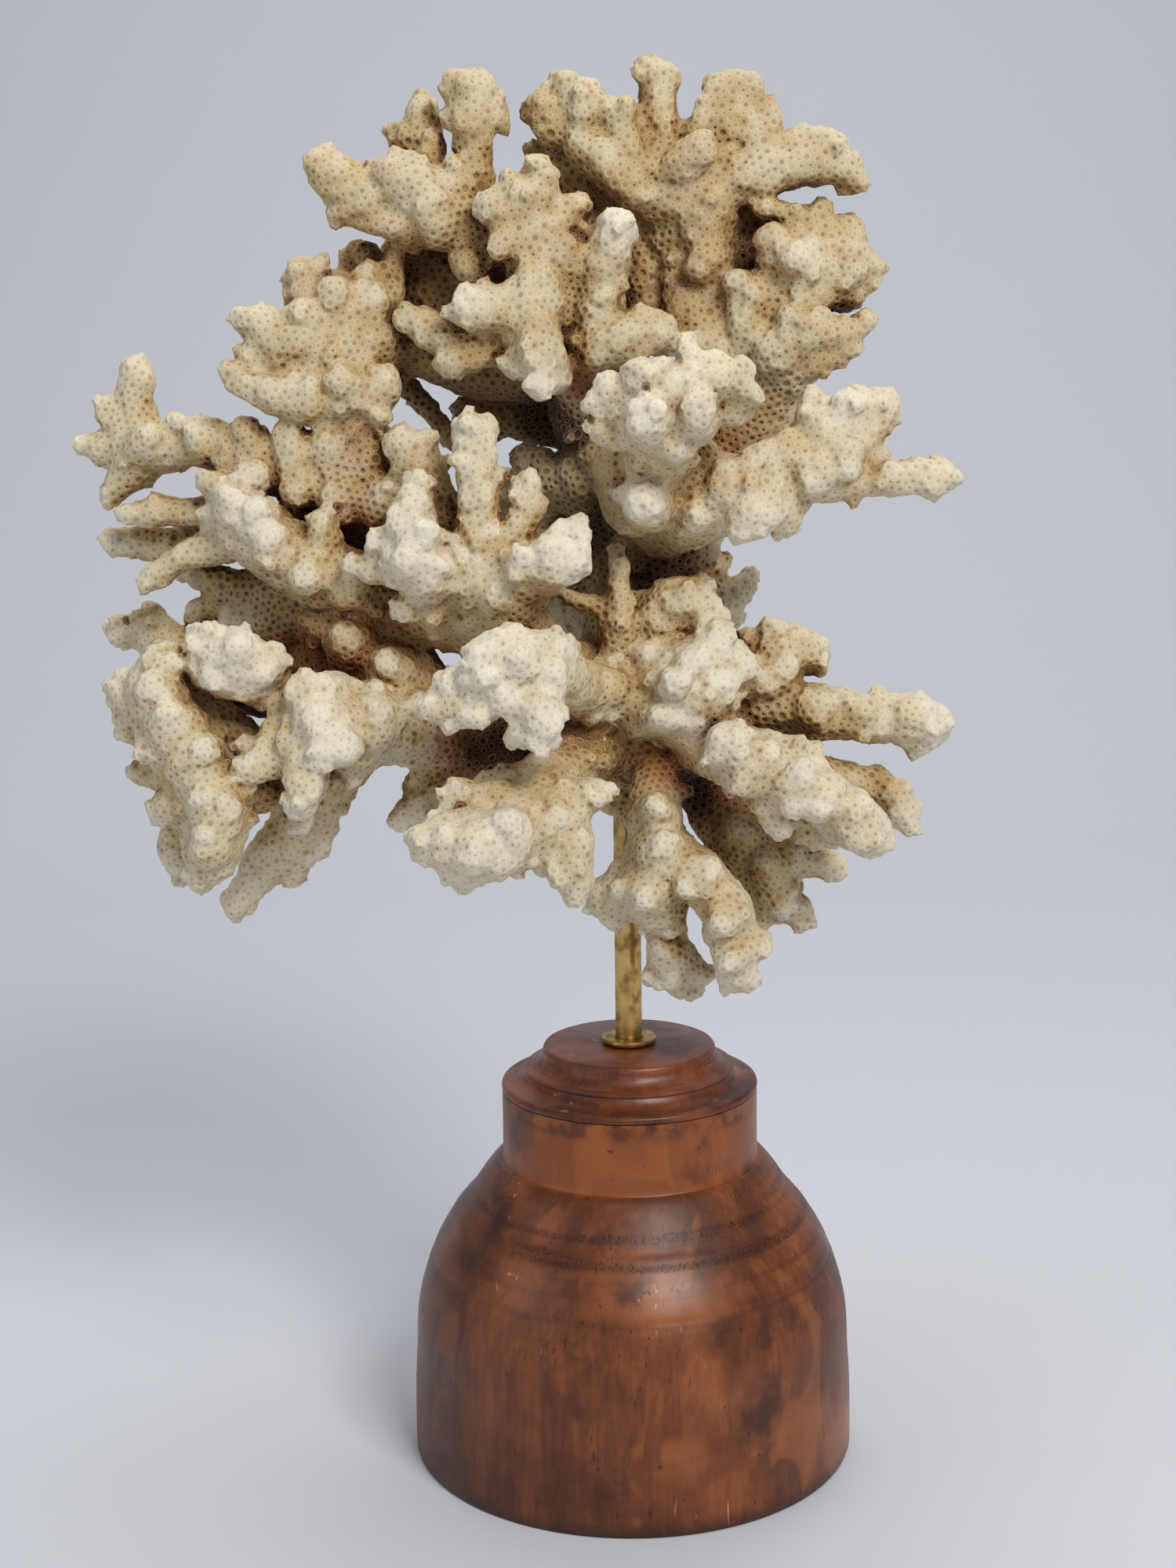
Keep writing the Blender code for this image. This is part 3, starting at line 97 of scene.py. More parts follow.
# %% The limbs
CORAL = {
    "coral_trunk": {
        "stem over the rod": [(790, 1013, 0, 4.8), (796, 985, 0, 6.2), (800, 950, 2, 8),
                              (800, 900, 2, 9.5), (795, 850, 0, 9), (790, 795, -3, 7.5)],
        "right face": [(800, 900, 4, 9), (850, 870, 12, 8), (893, 850, 16, 6.3), (915, 822, 18, 3.4)],
        "right knob": [(850, 880, 12, 8), (890, 890, 17, 6.5), (918, 888, 18, 3.4)],
        "lower lobe": [(860, 900, 12, 7.5), (885, 932, 16, 4.8), (898, 950, 17, 3)],
        "upper lobe": [(800, 830, 4, 7), (845, 790, 8, 6.5), (868, 768, 12, 5), (898, 778, 13, 3.2)],
        "upper knob": [(868, 768, 12, 4.5), (897, 752, 13, 2.2)],
        "front knobs": [(800, 890, 10, 7), (776, 878, 18, 3), (757, 905, 17, 2.6)],
        "white knob": [(815, 900, 12, 6), (840, 916, 21, 2.4)],
        "left shoulder": [(795, 900, 0, 8), (750, 940, 4, 7), (712, 955, 6, 6)],
        "back swell": [(795, 930, -2, 8), (780, 890, -12, 8.5), (770, 850, -18, 7)],
    },
    "crown_stem": {
        "stem": [(792, 810, -4, 7.5), (802, 740, -12, 8.5), (800, 660, -12, 9.5), (775, 580, -8, 9),
                 (748, 500, -3, 8), (738, 430, 0, 7)],
        "left wall": [(775, 600, -12, 8), (715, 620, -14, 6), (690, 690, -14, 5.5)],
        "right root": [(800, 700, -10, 8), (850, 700, -8, 7), (882, 700, -8, 5)],
    },
    "crown_left": {
        "root": [(690, 350, 2, 5.5), (650, 320, 1, 5.6), (605, 290, 0, 6), (560, 258, 0, 7)],
        "left arm": [(560, 280, 0, 6), (510, 272, 0, 5), (460, 248, 0, 5), (420, 217, 0, 3.6),
                     (408, 207, 0, 2.6)],
        "arm underside": [(520, 285, 2, 4), (462, 276, 2, 2.6)],
        "arm knob": [(450, 262, 2, 3.4), (430, 272, 2, 2)],
        "back lobe": [(560, 250, -6, 5), (540, 200, -9, 4.4), (536, 160, -10, 4), (537, 140, -10, 2.6)],
        "back lobe knob": [(530, 185, -9, 3), (506, 172, -9, 2)],
        "left knob": [(530, 245, 2, 4), (486, 222, 2, 2.4)],
        "top knob": [(540, 240, 4, 4), (512, 207, 4, 2.2)],
        "upright finger": [(597, 270, 0, 5), (604, 225, 0, 4), (606, 188, 0, 3.4), (603, 150, 0, 4.6),
                           (598, 124, 0, 4.2)],
        "finger knob": [(610, 155, 0, 3.6), (630, 135, 0, 2.2)],
        "finger tip": [(590, 125, 0, 3.4), (573, 107, 0, 1.6)],
    },
    "crown_middle": {
        "root": [(740, 450, 0, 7.4), (712, 385, 4, 7), (685, 320, 7, 6.6), (668, 268, 8, 6)],
        "right side": [(745, 440, 2, 7), (760, 410, 2, 6), (745, 350, 4, 5), (735, 310, 5, 3.6)],
        "chin": [(755, 450, 6, 6), (770, 440, 10, 4.4), (840, 425, 10, 3.6)],
        "top lobe": [(670, 270, 8, 5), (688, 225, 8, 3.4)],
        "left lobe": [(665, 290, 8, 5), (632, 272, 9, 3.4)],
        "right knob": [(690, 290, 8, 5), (735, 264, 8, 2.5)],
        "white finger": [(745, 410, 3, 5.4), (760, 370, 7, 4.6), (777, 325, 10, 4), (785, 290, 11, 3.1)],
        "drooping limb": [(710, 400, 4, 5.6), (680, 400, 12, 5), (690, 450, 15, 4.3),
                          (691, 492, 16, 2.8)],
        "drooping knob": [(684, 430, 14, 4), (658, 462, 14, 2.4)],
        "jagged lobe": [(690, 390, 8, 5), (640, 395, 13, 4.6), (600, 398, 14, 3.4), (580, 398, 14, 2)],
        "jagged knob": [(625, 392, 13, 3.6), (598, 378, 14, 2)],
        "left twig": [(700, 430, 4, 5), (640, 440, 8, 4.2), (590, 443, 9, 3.6), (545, 418, 6, 3.4),
                      (522, 402, 6, 2.4)],
        "twig knob": [(600, 445, 9, 3.4), (581, 455, 11, 2)],
    },
    "crown_right": {
        "root": [(925, 470, -6, 7), (908, 410, -7, 6.2), (902, 340, -7, 6), (895, 270, -6, 7)],
        "left arm": [(888, 250, -6, 6.4), (832, 245, -6, 6), (786, 208, -6, 5.8), (740, 162, -6, 5.2),
                     (707, 135, -6, 3.8)],
        "web": [(870, 240, -6, 6), (820, 200, -6, 5), (790, 165, -6, 3.4)],
        "left arm tips": [(735, 160, -6, 4), (722, 118, -6, 2.6), (714, 106, -6, 1.7)],
        "left arm knob": [(760, 180, -6, 4), (752, 120, -6, 2.2)],
        "left arm end": [(715, 145, -6, 3.4), (676, 142, -6, 2)],
        "left thin tip": [(780, 225, -10, 3), (725, 207, -12, 2.2), (682, 188, -12, 1.7)],
        "middle finger": [(865, 240, -6, 5), (852, 190, -6, 4), (839, 130, -6, 3.6), (834, 97, -6, 3)],
        "middle lobe": [(850, 200, -6, 4), (812, 160, -5, 3), (795, 142, -5, 2)],
        "right finger": [(900, 240, -6, 5), (915, 180, -6, 4), (930, 135, -6, 3.9), (935, 122, -6, 3.4)],
        "right knob": [(930, 165, -6, 4), (980, 147, -6, 2.2)],
        "right arm": [(900, 255, -6, 5.4), (960, 215, -6, 4.8), (1020, 195, -6, 4.2),
                      (1068, 203, -6, 3.6), (1086, 226, -6, 2.8)],
        "back arm": [(900, 420, -12, 6), (850, 390, -18, 6), (830, 330, -18, 5.6), (825, 280, -17, 4.4)],
    },
    "fan_right": {
        "root": [(810, 650, -12, 8), (880, 610, -11, 8), (935, 560, -8, 7), (970, 510, -6, 7),
                 (990, 460, -5, 7.5), (1005, 410, -4, 7), (1030, 345, -4, 8)],
        "body": [(940, 455, -6, 7.5), (945, 410, -6, 7), (990, 385, -5, 7.4), (1030, 375, -4, 6)],
        "shoulder": [(960, 470, -5, 7), (915, 440, -5, 6), (872, 400, -5, 4.5), (868, 372, -5, 3)],
        "left knob": [(930, 450, -4, 5), (880, 440, 0, 3), (838, 440, 2, 2.4)],
        "upper knobs": [(1030, 320, -4, 6), (1012, 278, -4, 3), (978, 268, -4, 2.2)],
        "top knob": [(1035, 320, -4, 6), (1042, 276, -4, 2.8)],
        "corner knob": [(1050, 330, -4, 6), (1082, 300, -4, 2.8)],
        "side tip": [(1050, 345, -4, 6), (1108, 345, -4, 3)],
        "lower knob": [(1040, 360, -4, 6), (1082, 375, -4, 3.4)],
        "ledge": [(990, 450, 0, 6), (1030, 425, 2, 4.2), (1080, 425, 1, 2.8), (1108, 408, 0, 2)],
        "ledge underside": [(1000, 470, -2, 6), (1045, 452, 0, 4), (1085, 442, 0, 2.4)],
        "low side": [(985, 500, -6, 6), (1005, 520, -6, 4)],
    },
    "front_cluster": {
        "root": [(815, 665, -4, 8), (830, 625, 10, 9.5), (838, 585, 20, 9), (845, 545, 28, 8.5),
                 (850, 515, 32, 7)],
        "white finger": [(868, 500, 33, 5), (876, 465, 33, 3.2), (879, 438, 32, 1.8)],
        "right lobe": [(870, 505, 33, 6), (918, 482, 34, 5), (948, 492, 33, 3.4), (962, 502, 33, 1.9)],
        "right top": [(915, 475, 34, 4), (908, 462, 34, 2)],
        "upper left": [(840, 505, 33, 6), (815, 485, 34, 4.4), (818, 472, 34, 2.4)],
        "upper knob": [(840, 495, 34, 5), (845, 474, 34, 2)],
        "left lobe": [(835, 520, 32, 7), (790, 500, 32, 4.6), (757, 512, 32, 2.8)],
        "left knob": [(800, 505, 32, 4), (772, 488, 32, 2.4)],
        "lower left": [(830, 545, 28, 7), (785, 545, 28, 4.6), (760, 548, 28, 2.6)],
        "dome": [(845, 530, 30, 6), (825, 527, 37, 4.4)],
        "right dome": [(865, 530, 30, 6), (888, 522, 37, 3.8)],
        "pitted knob": [(830, 640, 14, 6), (824, 638, 24, 3)],
        "low knob": [(815, 640, 14, 5), (797, 632, 21, 2.4)],
    },
    "right_arm": {
        "root": [(845, 660, -2, 8), (890, 640, 12, 8), (940, 625, 16, 6.5), (1000, 606, 16, 5.6),
                 (1060, 612, 16, 4.4), (1125, 611, 16, 3.2), (1175, 609, 16, 3.7), (1199, 611, 16, 3)],
        "upper body": [(1000, 600, 16, 5.4), (1045, 578, 16, 5.4), (1070, 560, 15, 5.2)],
        "upper left": [(1050, 580, 15, 5), (1040, 530, 14, 3.6), (1037, 508, 14, 2.2)],
        "upper right": [(1060, 570, 15, 5), (1098, 528, 15, 3.6), (1122, 516, 15, 2.7)],
        "white ball": [(1065, 550, 16, 4.5), (1083, 514, 18, 2.6)],
        "thin tip": [(1088, 530, 14, 3), (1095, 500, 14, 1.3)],
        "small lobe": [(1080, 590, 16, 4), (1109, 580, 14, 2.6)],
        "top knob": [(985, 600, 17, 5), (989, 576, 18, 2.3)],
        "front knob": [(960, 610, 18, 5), (962, 584, 20, 2.4)],
        "white lobe": [(945, 630, 17, 6), (958, 655, 21, 4.8), (950, 674, 21, 2.8)],
        "white tip": [(985, 625, 17, 6), (998, 655, 18, 3.6), (999, 671, 17, 2.2)],
    },
    "right_middle": {
        "root": [(860, 880, 4, 7), (920, 897, 7, 6), (975, 900, 10, 5.2), (1040, 906, 12, 5.2),
                 (1100, 914, 12, 4.7), (1150, 916, 12, 5), (1176, 922, 12, 5)],
        "tip knob": [(1160, 930, 12, 4), (1173, 950, 12, 2.4)],
        "cup lobe": [(960, 885, 8, 5.4), (985, 848, 8, 5.6), (1010, 828, 8, 4.8), (1036, 834, 8, 3.6)],
        "cup tip": [(1000, 835, 8, 4.6), (987, 805, 8, 2.8)],
        "cup knob": [(985, 840, 8, 4), (953, 812, 8, 2)],
        "pale lobe": [(960, 875, 10, 5), (943, 852, 17, 3.4)],
        "low knob": [(930, 905, 10, 5), (915, 915, 12, 3)],
    },
    "right_lower": {
        "root": [(868, 945, 4, 6), (925, 958, 18, 6), (970, 978, 23, 6.2), (1020, 1000, 24, 5.6),
                 (1066, 1026, 24, 5.4), (1104, 1056, 24, 4.8)],
        "round lobe": [(935, 965, 22, 5.6), (930, 952, 27, 4.4)],
        "top ridge": [(960, 970, 22, 5), (1000, 955, 22, 3), (1030, 975, 22, 3.4)],
        "tip": [(1095, 1055, 24, 4.6), (1108, 1076, 24, 2.8)],
        "under knob": [(985, 1010, 23, 5), (994, 1052, 24, 2.5)],
        "under lobe": [(1020, 1030, 14, 4.5), (1052, 1058, 13, 3.6)],
        "back arm": [(1020, 990, 14, 4.6), (1095, 998, 9, 3.6), (1135, 1016, 9, 4), (1150, 1038, 9, 3.6)],
    },
    "lower_right": {
        "root": [(845, 960, 0, 7), (885, 995, -2, 5.5), (925, 1045, 1, 6.4), (962, 1085, 4, 6.4),
                 (985, 1120, 5, 5.6), (992, 1145, 5, 4.6)],
        "right tip": [(985, 1085, 4, 5), (1035, 1098, 5, 3.5), (1060, 1107, 5, 2.8)],
        "low right tip": [(995, 1140, 5, 4), (1015, 1166, 5, 2.8), (1020, 1172, 5, 2.4)],
        "low left tip": [(980, 1150, 5, 4), (970, 1178, 5, 2.3)],
    },
    "lower_centre": {
        "root": [(832, 950, 4, 6), (836, 985, 11, 5), (835, 1030, 15, 5.4), (838, 1075, 16, 6),
                 (836, 1115, 16, 7.2), (838, 1150, 15, 6)],
        "left lobe": [(815, 1120, 15, 6), (783, 1140, 14, 4.2), (768, 1148, 14, 3)],
        "left tip": [(800, 1145, 14, 4), (784, 1172, 14, 2.6)],
        "front knob": [(805, 1130, 16, 4), (791, 1134, 21, 1.8)],
        "right arm": [(855, 1095, 17, 6), (895, 1122, 20, 5.2), (925, 1160, 22, 5), (937, 1205, 22, 5),
                      (938, 1243, 22, 3.5)],
        "arm knob": [(940, 1195, 22, 4), (967, 1205, 22, 2.6)],
        "low lobe": [(848, 1140, 12, 5.5), (848, 1185, 10, 3.9), (856, 1230, 10, 4.6)],
        "low tips": [(850, 1225, 10, 4), (834, 1240, 10, 2.2)],
        "low end": [(860, 1230, 10, 4.4), (865, 1256, 10, 2.6), (878, 1258, 10, 2.4)],
        "low side": [(865, 1225, 10, 4), (898, 1241, 10, 2)],
    },
    "lower_slab": {
        "root": [(790, 955, 2, 7), (740, 962, 12, 6.6), (705, 990, 22, 6), (690, 1030, 31, 6),
                 (655, 1065, 37, 6.4), (610, 1080, 39, 6.4), (565, 1078, 39, 4.6), (545, 1080, 39, 3)],
        "low edge": [(640, 1075, 38, 6), (592, 1108, 38, 3.4)],
        "upper left": [(600, 1065, 38, 5.5), (552, 1058, 37, 2.6)],
        "ring knobs": [(640, 1030, 33, 5), (600, 1022, 33, 3.6), (577, 1014, 33, 2.4)],
        "back rim": [(690, 1000, 24, 5), (640, 1002, 26, 3.4), (615, 997, 26, 2.2)],
        "top rim": [(700, 1000, 26, 4.5), (690, 985, 27, 2.8)],
        "right edge": [(700, 1030, 32, 5.4), (722, 1060, 35, 4.8), (730, 1105, 36, 4),
                       (737, 1143, 36, 2.4)],
        "pale lobe": [(715, 1030, 32, 4.5), (748, 1015, 33, 3.8), (762, 1008, 33, 2.6)],
        "low knob": [(690, 1060, 36, 5), (697, 1102, 36, 2.8)],
        "back arm": [(640, 985, 12, 5), (590, 1000, 8, 4.6), (548, 1022, 6, 4.4), (512, 1043, 6, 2.4)],
        "back arm top": [(590, 1000, 8, 4), (540, 992, 6, 3)],
    },
    "centre_branch": {
        "root": [(775, 860, 2, 8), (725, 858, 9, 6.6), (678, 825, 14, 6.4), (650, 785, 16, 7),
                 (632, 735, 18, 6.2)],
        "finger": [(620, 740, 19, 6), (609, 690, 20, 4.6), (610, 630, 20, 4.1), (606, 580, 20, 4.1),
                   (604, 552, 20, 3.7)],
        "yellow knob": [(640, 720, 19, 4.6), (668, 665, 21, 2.9), (675, 618, 21, 2.2)],
        "right cluster": [(650, 750, 19, 6), (690, 725, 24, 5.4), (722, 720, 26, 3.8),
                          (736, 716, 27, 2.6)],
        "cluster top": [(695, 715, 25, 4.4), (726, 680, 26, 2.8)],
        "cluster knob": [(670, 735, 24, 4.4), (664, 718, 28, 2.6)],
        "small finger": [(600, 755, 20, 3.8), (588, 732, 22, 2.6), (586, 718, 22, 2.2)],
        "left shoulder": [(650, 780, 16, 6.6), (600, 770, 14, 6.4), (560, 772, 12, 5.6)],
        "white branch": [(570, 775, 14, 5), (548, 745, 19, 5.4), (531, 700, 22, 5.2), (526, 650, 22, 4),
                         (531, 620, 21, 2.8)],
        "white knob left": [(525, 695, 22, 4.4), (482, 690, 21, 2.2)],
        "white tip left": [(525, 725, 20, 4.4), (478, 724, 19, 3), (453, 722, 18, 2.2)],
        "under knob": [(545, 765, 17, 4), (515, 778, 19, 2.4)],
        "upper lobe": [(590, 700, 14, 4.6), (556, 640, 11, 4.4), (528, 592, 10, 4.4),
                       (511, 562, 10, 2.4)],
        "upper lobe tip": [(535, 590, 10, 3.8), (543, 560, 10, 2.4)],
    },
    "centre_hand": {
        "root": [(765, 885, 10, 6.5), (728, 872, 22, 6), (690, 850, 31, 6.6), (645, 836, 36, 5.6),
                 (618, 838, 38, 4)],
        "upper edge": [(685, 845, 33, 5), (665, 824, 35, 3.4)],
        "right edge": [(700, 860, 32, 5), (708, 838, 32, 3.6)],
        "low lobe": [(685, 865, 34, 5.4), (688, 905, 38, 4.4), (690, 935, 39, 3.6)],
        "low lobe left": [(682, 905, 38, 4), (664, 936, 38, 2.6)],
        "left palm": [(650, 860, 34, 5.6), (605, 880, 34, 5), (583, 876, 34, 4)],
        "left finger": [(590, 892, 35, 4), (568, 906, 36, 3), (549, 904, 36, 2.1)],
        "left thumb": [(592, 895, 35, 3.6), (577, 918, 36, 2.4)],
        "middle knob": [(625, 890, 35, 4), (615, 912, 38, 2.2)],
    },
    "left_centre": {
        "root": [(740, 945, 4, 7), (680, 945, 5, 6.6), (615, 940, 6, 7), (550, 932, 8, 7.4),
                 (490, 925, 12, 8), (440, 925, 17, 7.6), (405, 930, 20, 6.6)],
        "rise": [(550, 915, 5, 7.4), (515, 860, 3, 8), (480, 815, 3, 7), (440, 800, 4, 5),
                 (412, 798, 5, 3.4)],
        "web": [(500, 890, 6, 7.4), (455, 865, 2, 7), (410, 850, -2, 5.4)],
        "bridge": [(410, 900, 17, 6), (368, 893, 15, 4.4), (340, 872, 15, 5)],
        "white lobe": [(340, 872, 15, 5), (315, 852, 17, 6), (303, 830, 18, 4.6)],
        "white lobe left": [(310, 865, 17, 5), (270, 850, 17, 4.6), (262, 822, 17, 3.2)],
        "white lobe right": [(318, 850, 17, 5), (340, 845, 17, 3.8)],
        "white lobe tip": [(272, 835, 16, 3.6), (256, 810, 16, 2.2)],
        "back lobe": [(345, 885, 4, 5), (290, 870, -4, 4.8), (250, 842, -8, 4.8), (215, 820, -10, 4.8),
                      (182, 805, -12, 4.2), (158, 808, -12, 3)],
        "back lobe tip": [(205, 815, -11, 4), (195, 790, -12, 2.8)],
        "upper lobe": [(420, 910, 20, 6), (393, 884, 22, 4.2), (393, 872, 22, 2.6)],
        "upper right": [(425, 905, 20, 5), (418, 882, 22, 2.8)],
        "back finger": [(445, 900, 16, 4), (440, 870, 17, 2.4)],
        "thin finger": [(485, 905, 16, 4), (480, 880, 18, 1.8)],
        "white palm": [(425, 930, 22, 6), (420, 945, 26, 4.6)],
        "low finger": [(400, 940, 22, 5.4), (388, 985, 25, 4.2), (386, 1018, 26, 3)],
        "low knob": [(392, 1000, 21, 3.6), (382, 1044, 20, 2.6)],
        "left finger": [(395, 950, 20, 5), (350, 955, 19, 4), (316, 952, 19, 2.2)],
        "left ball": [(360, 965, 20, 4), (318, 982, 22, 2.6)],
        "right underside": [(450, 950, 16, 6), (446, 983, 15, 3)],
        "low back": [(450, 955, 6, 6), (420, 1000, 2, 5.4), (390, 1045, -2, 5.2), (350, 1085, -4, 5),
                     (320, 1128, -4, 3.6), (303, 1152, -4, 3.1)],
        "low back tip": [(385, 1070, -4, 4.4), (374, 1118, -5, 2.2)],
        "low back edge": [(400, 1040, -2, 4.4), (406, 1078, -3, 2.8)],
    },
    "left_hand": {
        "root": [(405, 985, 12, 5.4), (350, 998, 13, 5), (300, 1000, 13, 6.4), (255, 975, 13, 7.4),
                 (225, 925, 12, 8), (200, 885, 11, 7), (208, 855, 12, 4.4)],
        "shaded web": [(330, 965, 10, 4.6), (285, 940, 9, 6), (240, 900, 9, 6)],
        "left edge": [(205, 900, 11, 6), (168, 905, 9, 4), (160, 882, 9, 3.4)],
        "left low edge": [(205, 920, 10, 5), (160, 935, 9, 2.2)],
        "finger": [(240, 965, 16, 5), (205, 955, 18, 3.6), (190, 955, 18, 2.6)],
        "dark finger": [(240, 990, 10, 5), (195, 985, 8, 3), (175, 982, 7, 2.2)],
        "low palm": [(265, 1000, 17, 7), (278, 1050, 19, 6), (270, 1095, 20, 4.8), (258, 1112, 20, 3)],
        "low palm edge": [(250, 1020, 16, 6), (215, 1025, 15, 3.4), (208, 1035, 15, 2.4)],
        "dark tip": [(245, 1050, 10, 5), (225, 1075, 8, 3.8), (228, 1103, 7, 3)],
    },
    "left_upper": {
        "root": [(720, 470, -4, 6), (660, 480, -5, 5.6), (600, 475, -5, 5.2), (548, 455, -4, 4.8),
                 (500, 430, -2, 6), (450, 408, 0, 6.4), (400, 372, 1, 5.4)],
        "body": [(455, 400, 1, 8), (445, 450, 2, 8.4), (450, 505, 4, 6.4)],
        "left side": [(420, 430, 2, 7), (400, 470, 4, 6.4), (370, 495, 6, 5)],
        "flat top": [(398, 372, 1, 5), (388, 348, 2, 2.8), (378, 342, 2, 2)],
        "flat top right": [(400, 365, 1, 4.6), (406, 345, 2, 2.4)],
        "finger": [(488, 395, 0, 4.4), (500, 345, -2, 2.8), (508, 312, -2, 2)],
        "knob": [(455, 385, 2, 4), (466, 350, 2, 2.2)],
        "back knob": [(450, 380, -4, 4), (449, 330, -9, 2.6)],
        "left arm": [(440, 425, 3, 5), (390, 437, 6, 5.2), (350, 427, 7, 4.6), (328, 415, 7, 3.2)],
        "left arm knob": [(360, 435, 7, 4), (316, 450, 7, 1.9)],
        "left arm low": [(370, 440, 7, 4), (332, 468, 7, 2)],
        "ridge arm": [(460, 510, 5, 5), (400, 515, 7, 4.6), (350, 505, 8, 3.8), (318, 492, 8, 3),
                      (296, 482, 8, 2)],
        "ridge knobs": [(470, 520, 6, 3.4), (485, 530, 9, 2.2)],
        "ridge end": [(440, 525, 6, 3.4), (452, 548, 7, 2.2)],
        "back twig": [(500, 470, -14, 2.2), (530, 505, -14, 2.2), (565, 545, -12, 2.4),
                      (600, 580, -6, 3)],
    },
    "left_long": {
        "root": [(600, 745, 2, 6), (545, 700, 0, 6.4), (495, 648, 0, 7.2), (445, 612, -1, 7.6),
                 (390, 600, -1, 7), (335, 590, -1, 5.6), (285, 572, -2, 4.6), (250, 570, -4, 4.2),
                 (212, 570, -6, 5), (178, 570, -8, 6)],
        "low wall": [(500, 660, -4, 6.4), (455, 680, -6, 6), (400, 670, -6, 5)],
        "shoulder knob": [(285, 570, -2, 4), (262, 548, -2, 2.6)],
        "top finger": [(175, 555, -8, 5), (172, 505, -8, 3.4), (172, 478, -8, 3.2)],
        "left knob": [(165, 550, -8, 4.6), (133, 517, -8, 2.2)],
        "left lobe": [(165, 572, -8, 5), (125, 572, -8, 3), (108, 571, -8, 2.2)],
        "low lobe": [(175, 590, -8, 4.6), (150, 622, -8, 2.8), (142, 630, -8, 2.2)],
        "neck knob": [(225, 565, -5, 4.4), (222, 545, -3, 2.6)],
        "middle knob": [(335, 600, 1, 4.4), (322, 608, 7, 3.4)],
    },
    "left_middle": {
        "root": [(640, 800, 10, 6.4), (570, 790, 6, 6.2), (500, 765, 5, 6.4), (440, 745, 6, 7),
                 (375, 712, 7, 7), (325, 680, 6, 6.6), (298, 655, 5, 5.4)],
        "upper lobe": [(320, 660, 6, 5), (285, 625, 6, 3.4), (267, 614, 6, 2)],
        "finger knob": [(415, 705, 10, 4), (409, 670, 12, 2.4), (410, 661, 12, 2)],
        "upper finger": [(310, 665, 2, 5), (250, 655, -1, 3.2), (195, 654, -2, 2.8), (162, 655, -2, 2.1)],
        "dark lobe": [(290, 685, -4, 5), (235, 695, -8, 3.6), (185, 694, -10, 3.4), (147, 688, -10, 2.6)],
        "low finger": [(300, 690, 3, 4), (240, 708, 3, 2.8), (205, 732, 3, 2.4), (190, 744, 3, 2)],
        "low arm": [(380, 745, -2, 5), (320, 752, -6, 4), (270, 740, -8, 3), (240, 727, -8, 2.2)],
        "dark tip": [(350, 765, -6, 4), (290, 770, -8, 3), (248, 780, -9, 1.9)],
        "low edge": [(430, 770, 2, 5), (370, 785, -4, 6), (330, 790, -6, 5), (300, 795, -6, 3)],
        "low wall": [(450, 775, -4, 6), (410, 820, -8, 6), (370, 830, -9, 4.4)],
    },
    "centre_twigs": {
        "upright twig": [(795, 850, 9, 4), (790, 800, 13, 3.2), (790, 760, 14, 2.3), (790, 725, 13, 2),
                         (787, 702, 12, 1.5)],
        "side twig": [(788, 795, 13, 2.6), (762, 774, 13, 1.9), (730, 762, 13, 1.7), (700, 748, 14, 1.7)],
    },
    "dark_branch": {
        "root": [(830, 730, -14, 6.5), (870, 755, -18, 5), (905, 765, -20, 4.6), (935, 758, -20, 3.4),
                 (956, 740, -20, 2)],
        "upper tip": [(905, 755, -20, 4), (914, 735, -20, 1.8)],
        "low lobe": [(900, 775, -18, 4), (925, 785, -17, 2.8)],
    },
    "back_upper": {
        "root": [(770, 560, -12, 7), (745, 510, -24, 6.5), (715, 450, -34, 6.5), (690, 390, -40, 5.5)],
        "left arm": [(715, 450, -34, 5.5), (650, 420, -32, 6), (585, 390, -27, 7), (550, 365, -25, 5.6)],
        "left tip": [(630, 410, -34, 4.6), (600, 350, -44, 3.6), (585, 330, -48, 2.8)],
        "top arm": [(690, 390, -40, 5), (700, 320, -42, 4.2), (690, 270, -40, 3)],
        "right arm": [(720, 450, -34, 5.5), (790, 400, -38, 5.4), (840, 360, -38, 4.4),
                      (870, 310, -38, 3)],
        "right tip": [(800, 395, -40, 4), (850, 420, -46, 3)],
        "out knob": [(715, 430, -36, 5), (725, 400, -50, 3.4)],
        "hollow wall": [(750, 530, -22, 7), (695, 528, -24, 6.6), (640, 520, -24, 5.4),
                        (600, 528, -22, 3.6)],
    },
    "back_right": {
        "root": [(800, 740, -14, 7), (845, 700, -26, 6.5), (890, 670, -36, 6), (935, 640, -42, 4.6),
                 (970, 615, -44, 3.2)],
        "upper arm": [(875, 680, -32, 5), (890, 620, -42, 4.4), (900, 560, -46, 3.4)],
        "low arm": [(880, 690, -32, 5), (905, 740, -42, 4.2), (900, 780, -46, 3)],
        "out arm": [(870, 690, -34, 5), (860, 670, -50, 4), (850, 640, -58, 3)],
        "low finger": [(850, 720, -28, 5), (830, 790, -36, 4.4), (840, 850, -40, 3.2)],
    },
    "back_left": {
        "root": [(790, 800, -12, 7.5), (740, 770, -24, 7), (690, 740, -34, 6.6), (630, 700, -40, 6),
                 (570, 660, -42, 4.8), (520, 620, -42, 3.4)],
        "upper arm": [(690, 740, -34, 5.5), (660, 670, -42, 5), (645, 620, -44, 3.4)],
        "far arm": [(620, 700, -40, 5), (540, 705, -38, 5), (470, 690, -34, 5), (410, 650, -32, 4.4),
                    (370, 610, -32, 3)],
        "low arm": [(660, 735, -38, 5), (600, 780, -46, 4.4), (540, 810, -46, 3.6), (500, 800, -44, 2.8)],
        "out arm": [(680, 740, -38, 5), (680, 750, -54, 4.2), (660, 720, -62, 3)],
        "far knob": [(470, 690, -35, 4.4), (420, 720, -36, 4), (385, 735, -36, 2.8)],
    },
    "back_lower": {
        "root": [(785, 900, -12, 7.5), (740, 900, -24, 7), (690, 900, -32, 6.4), (630, 890, -36, 5.6),
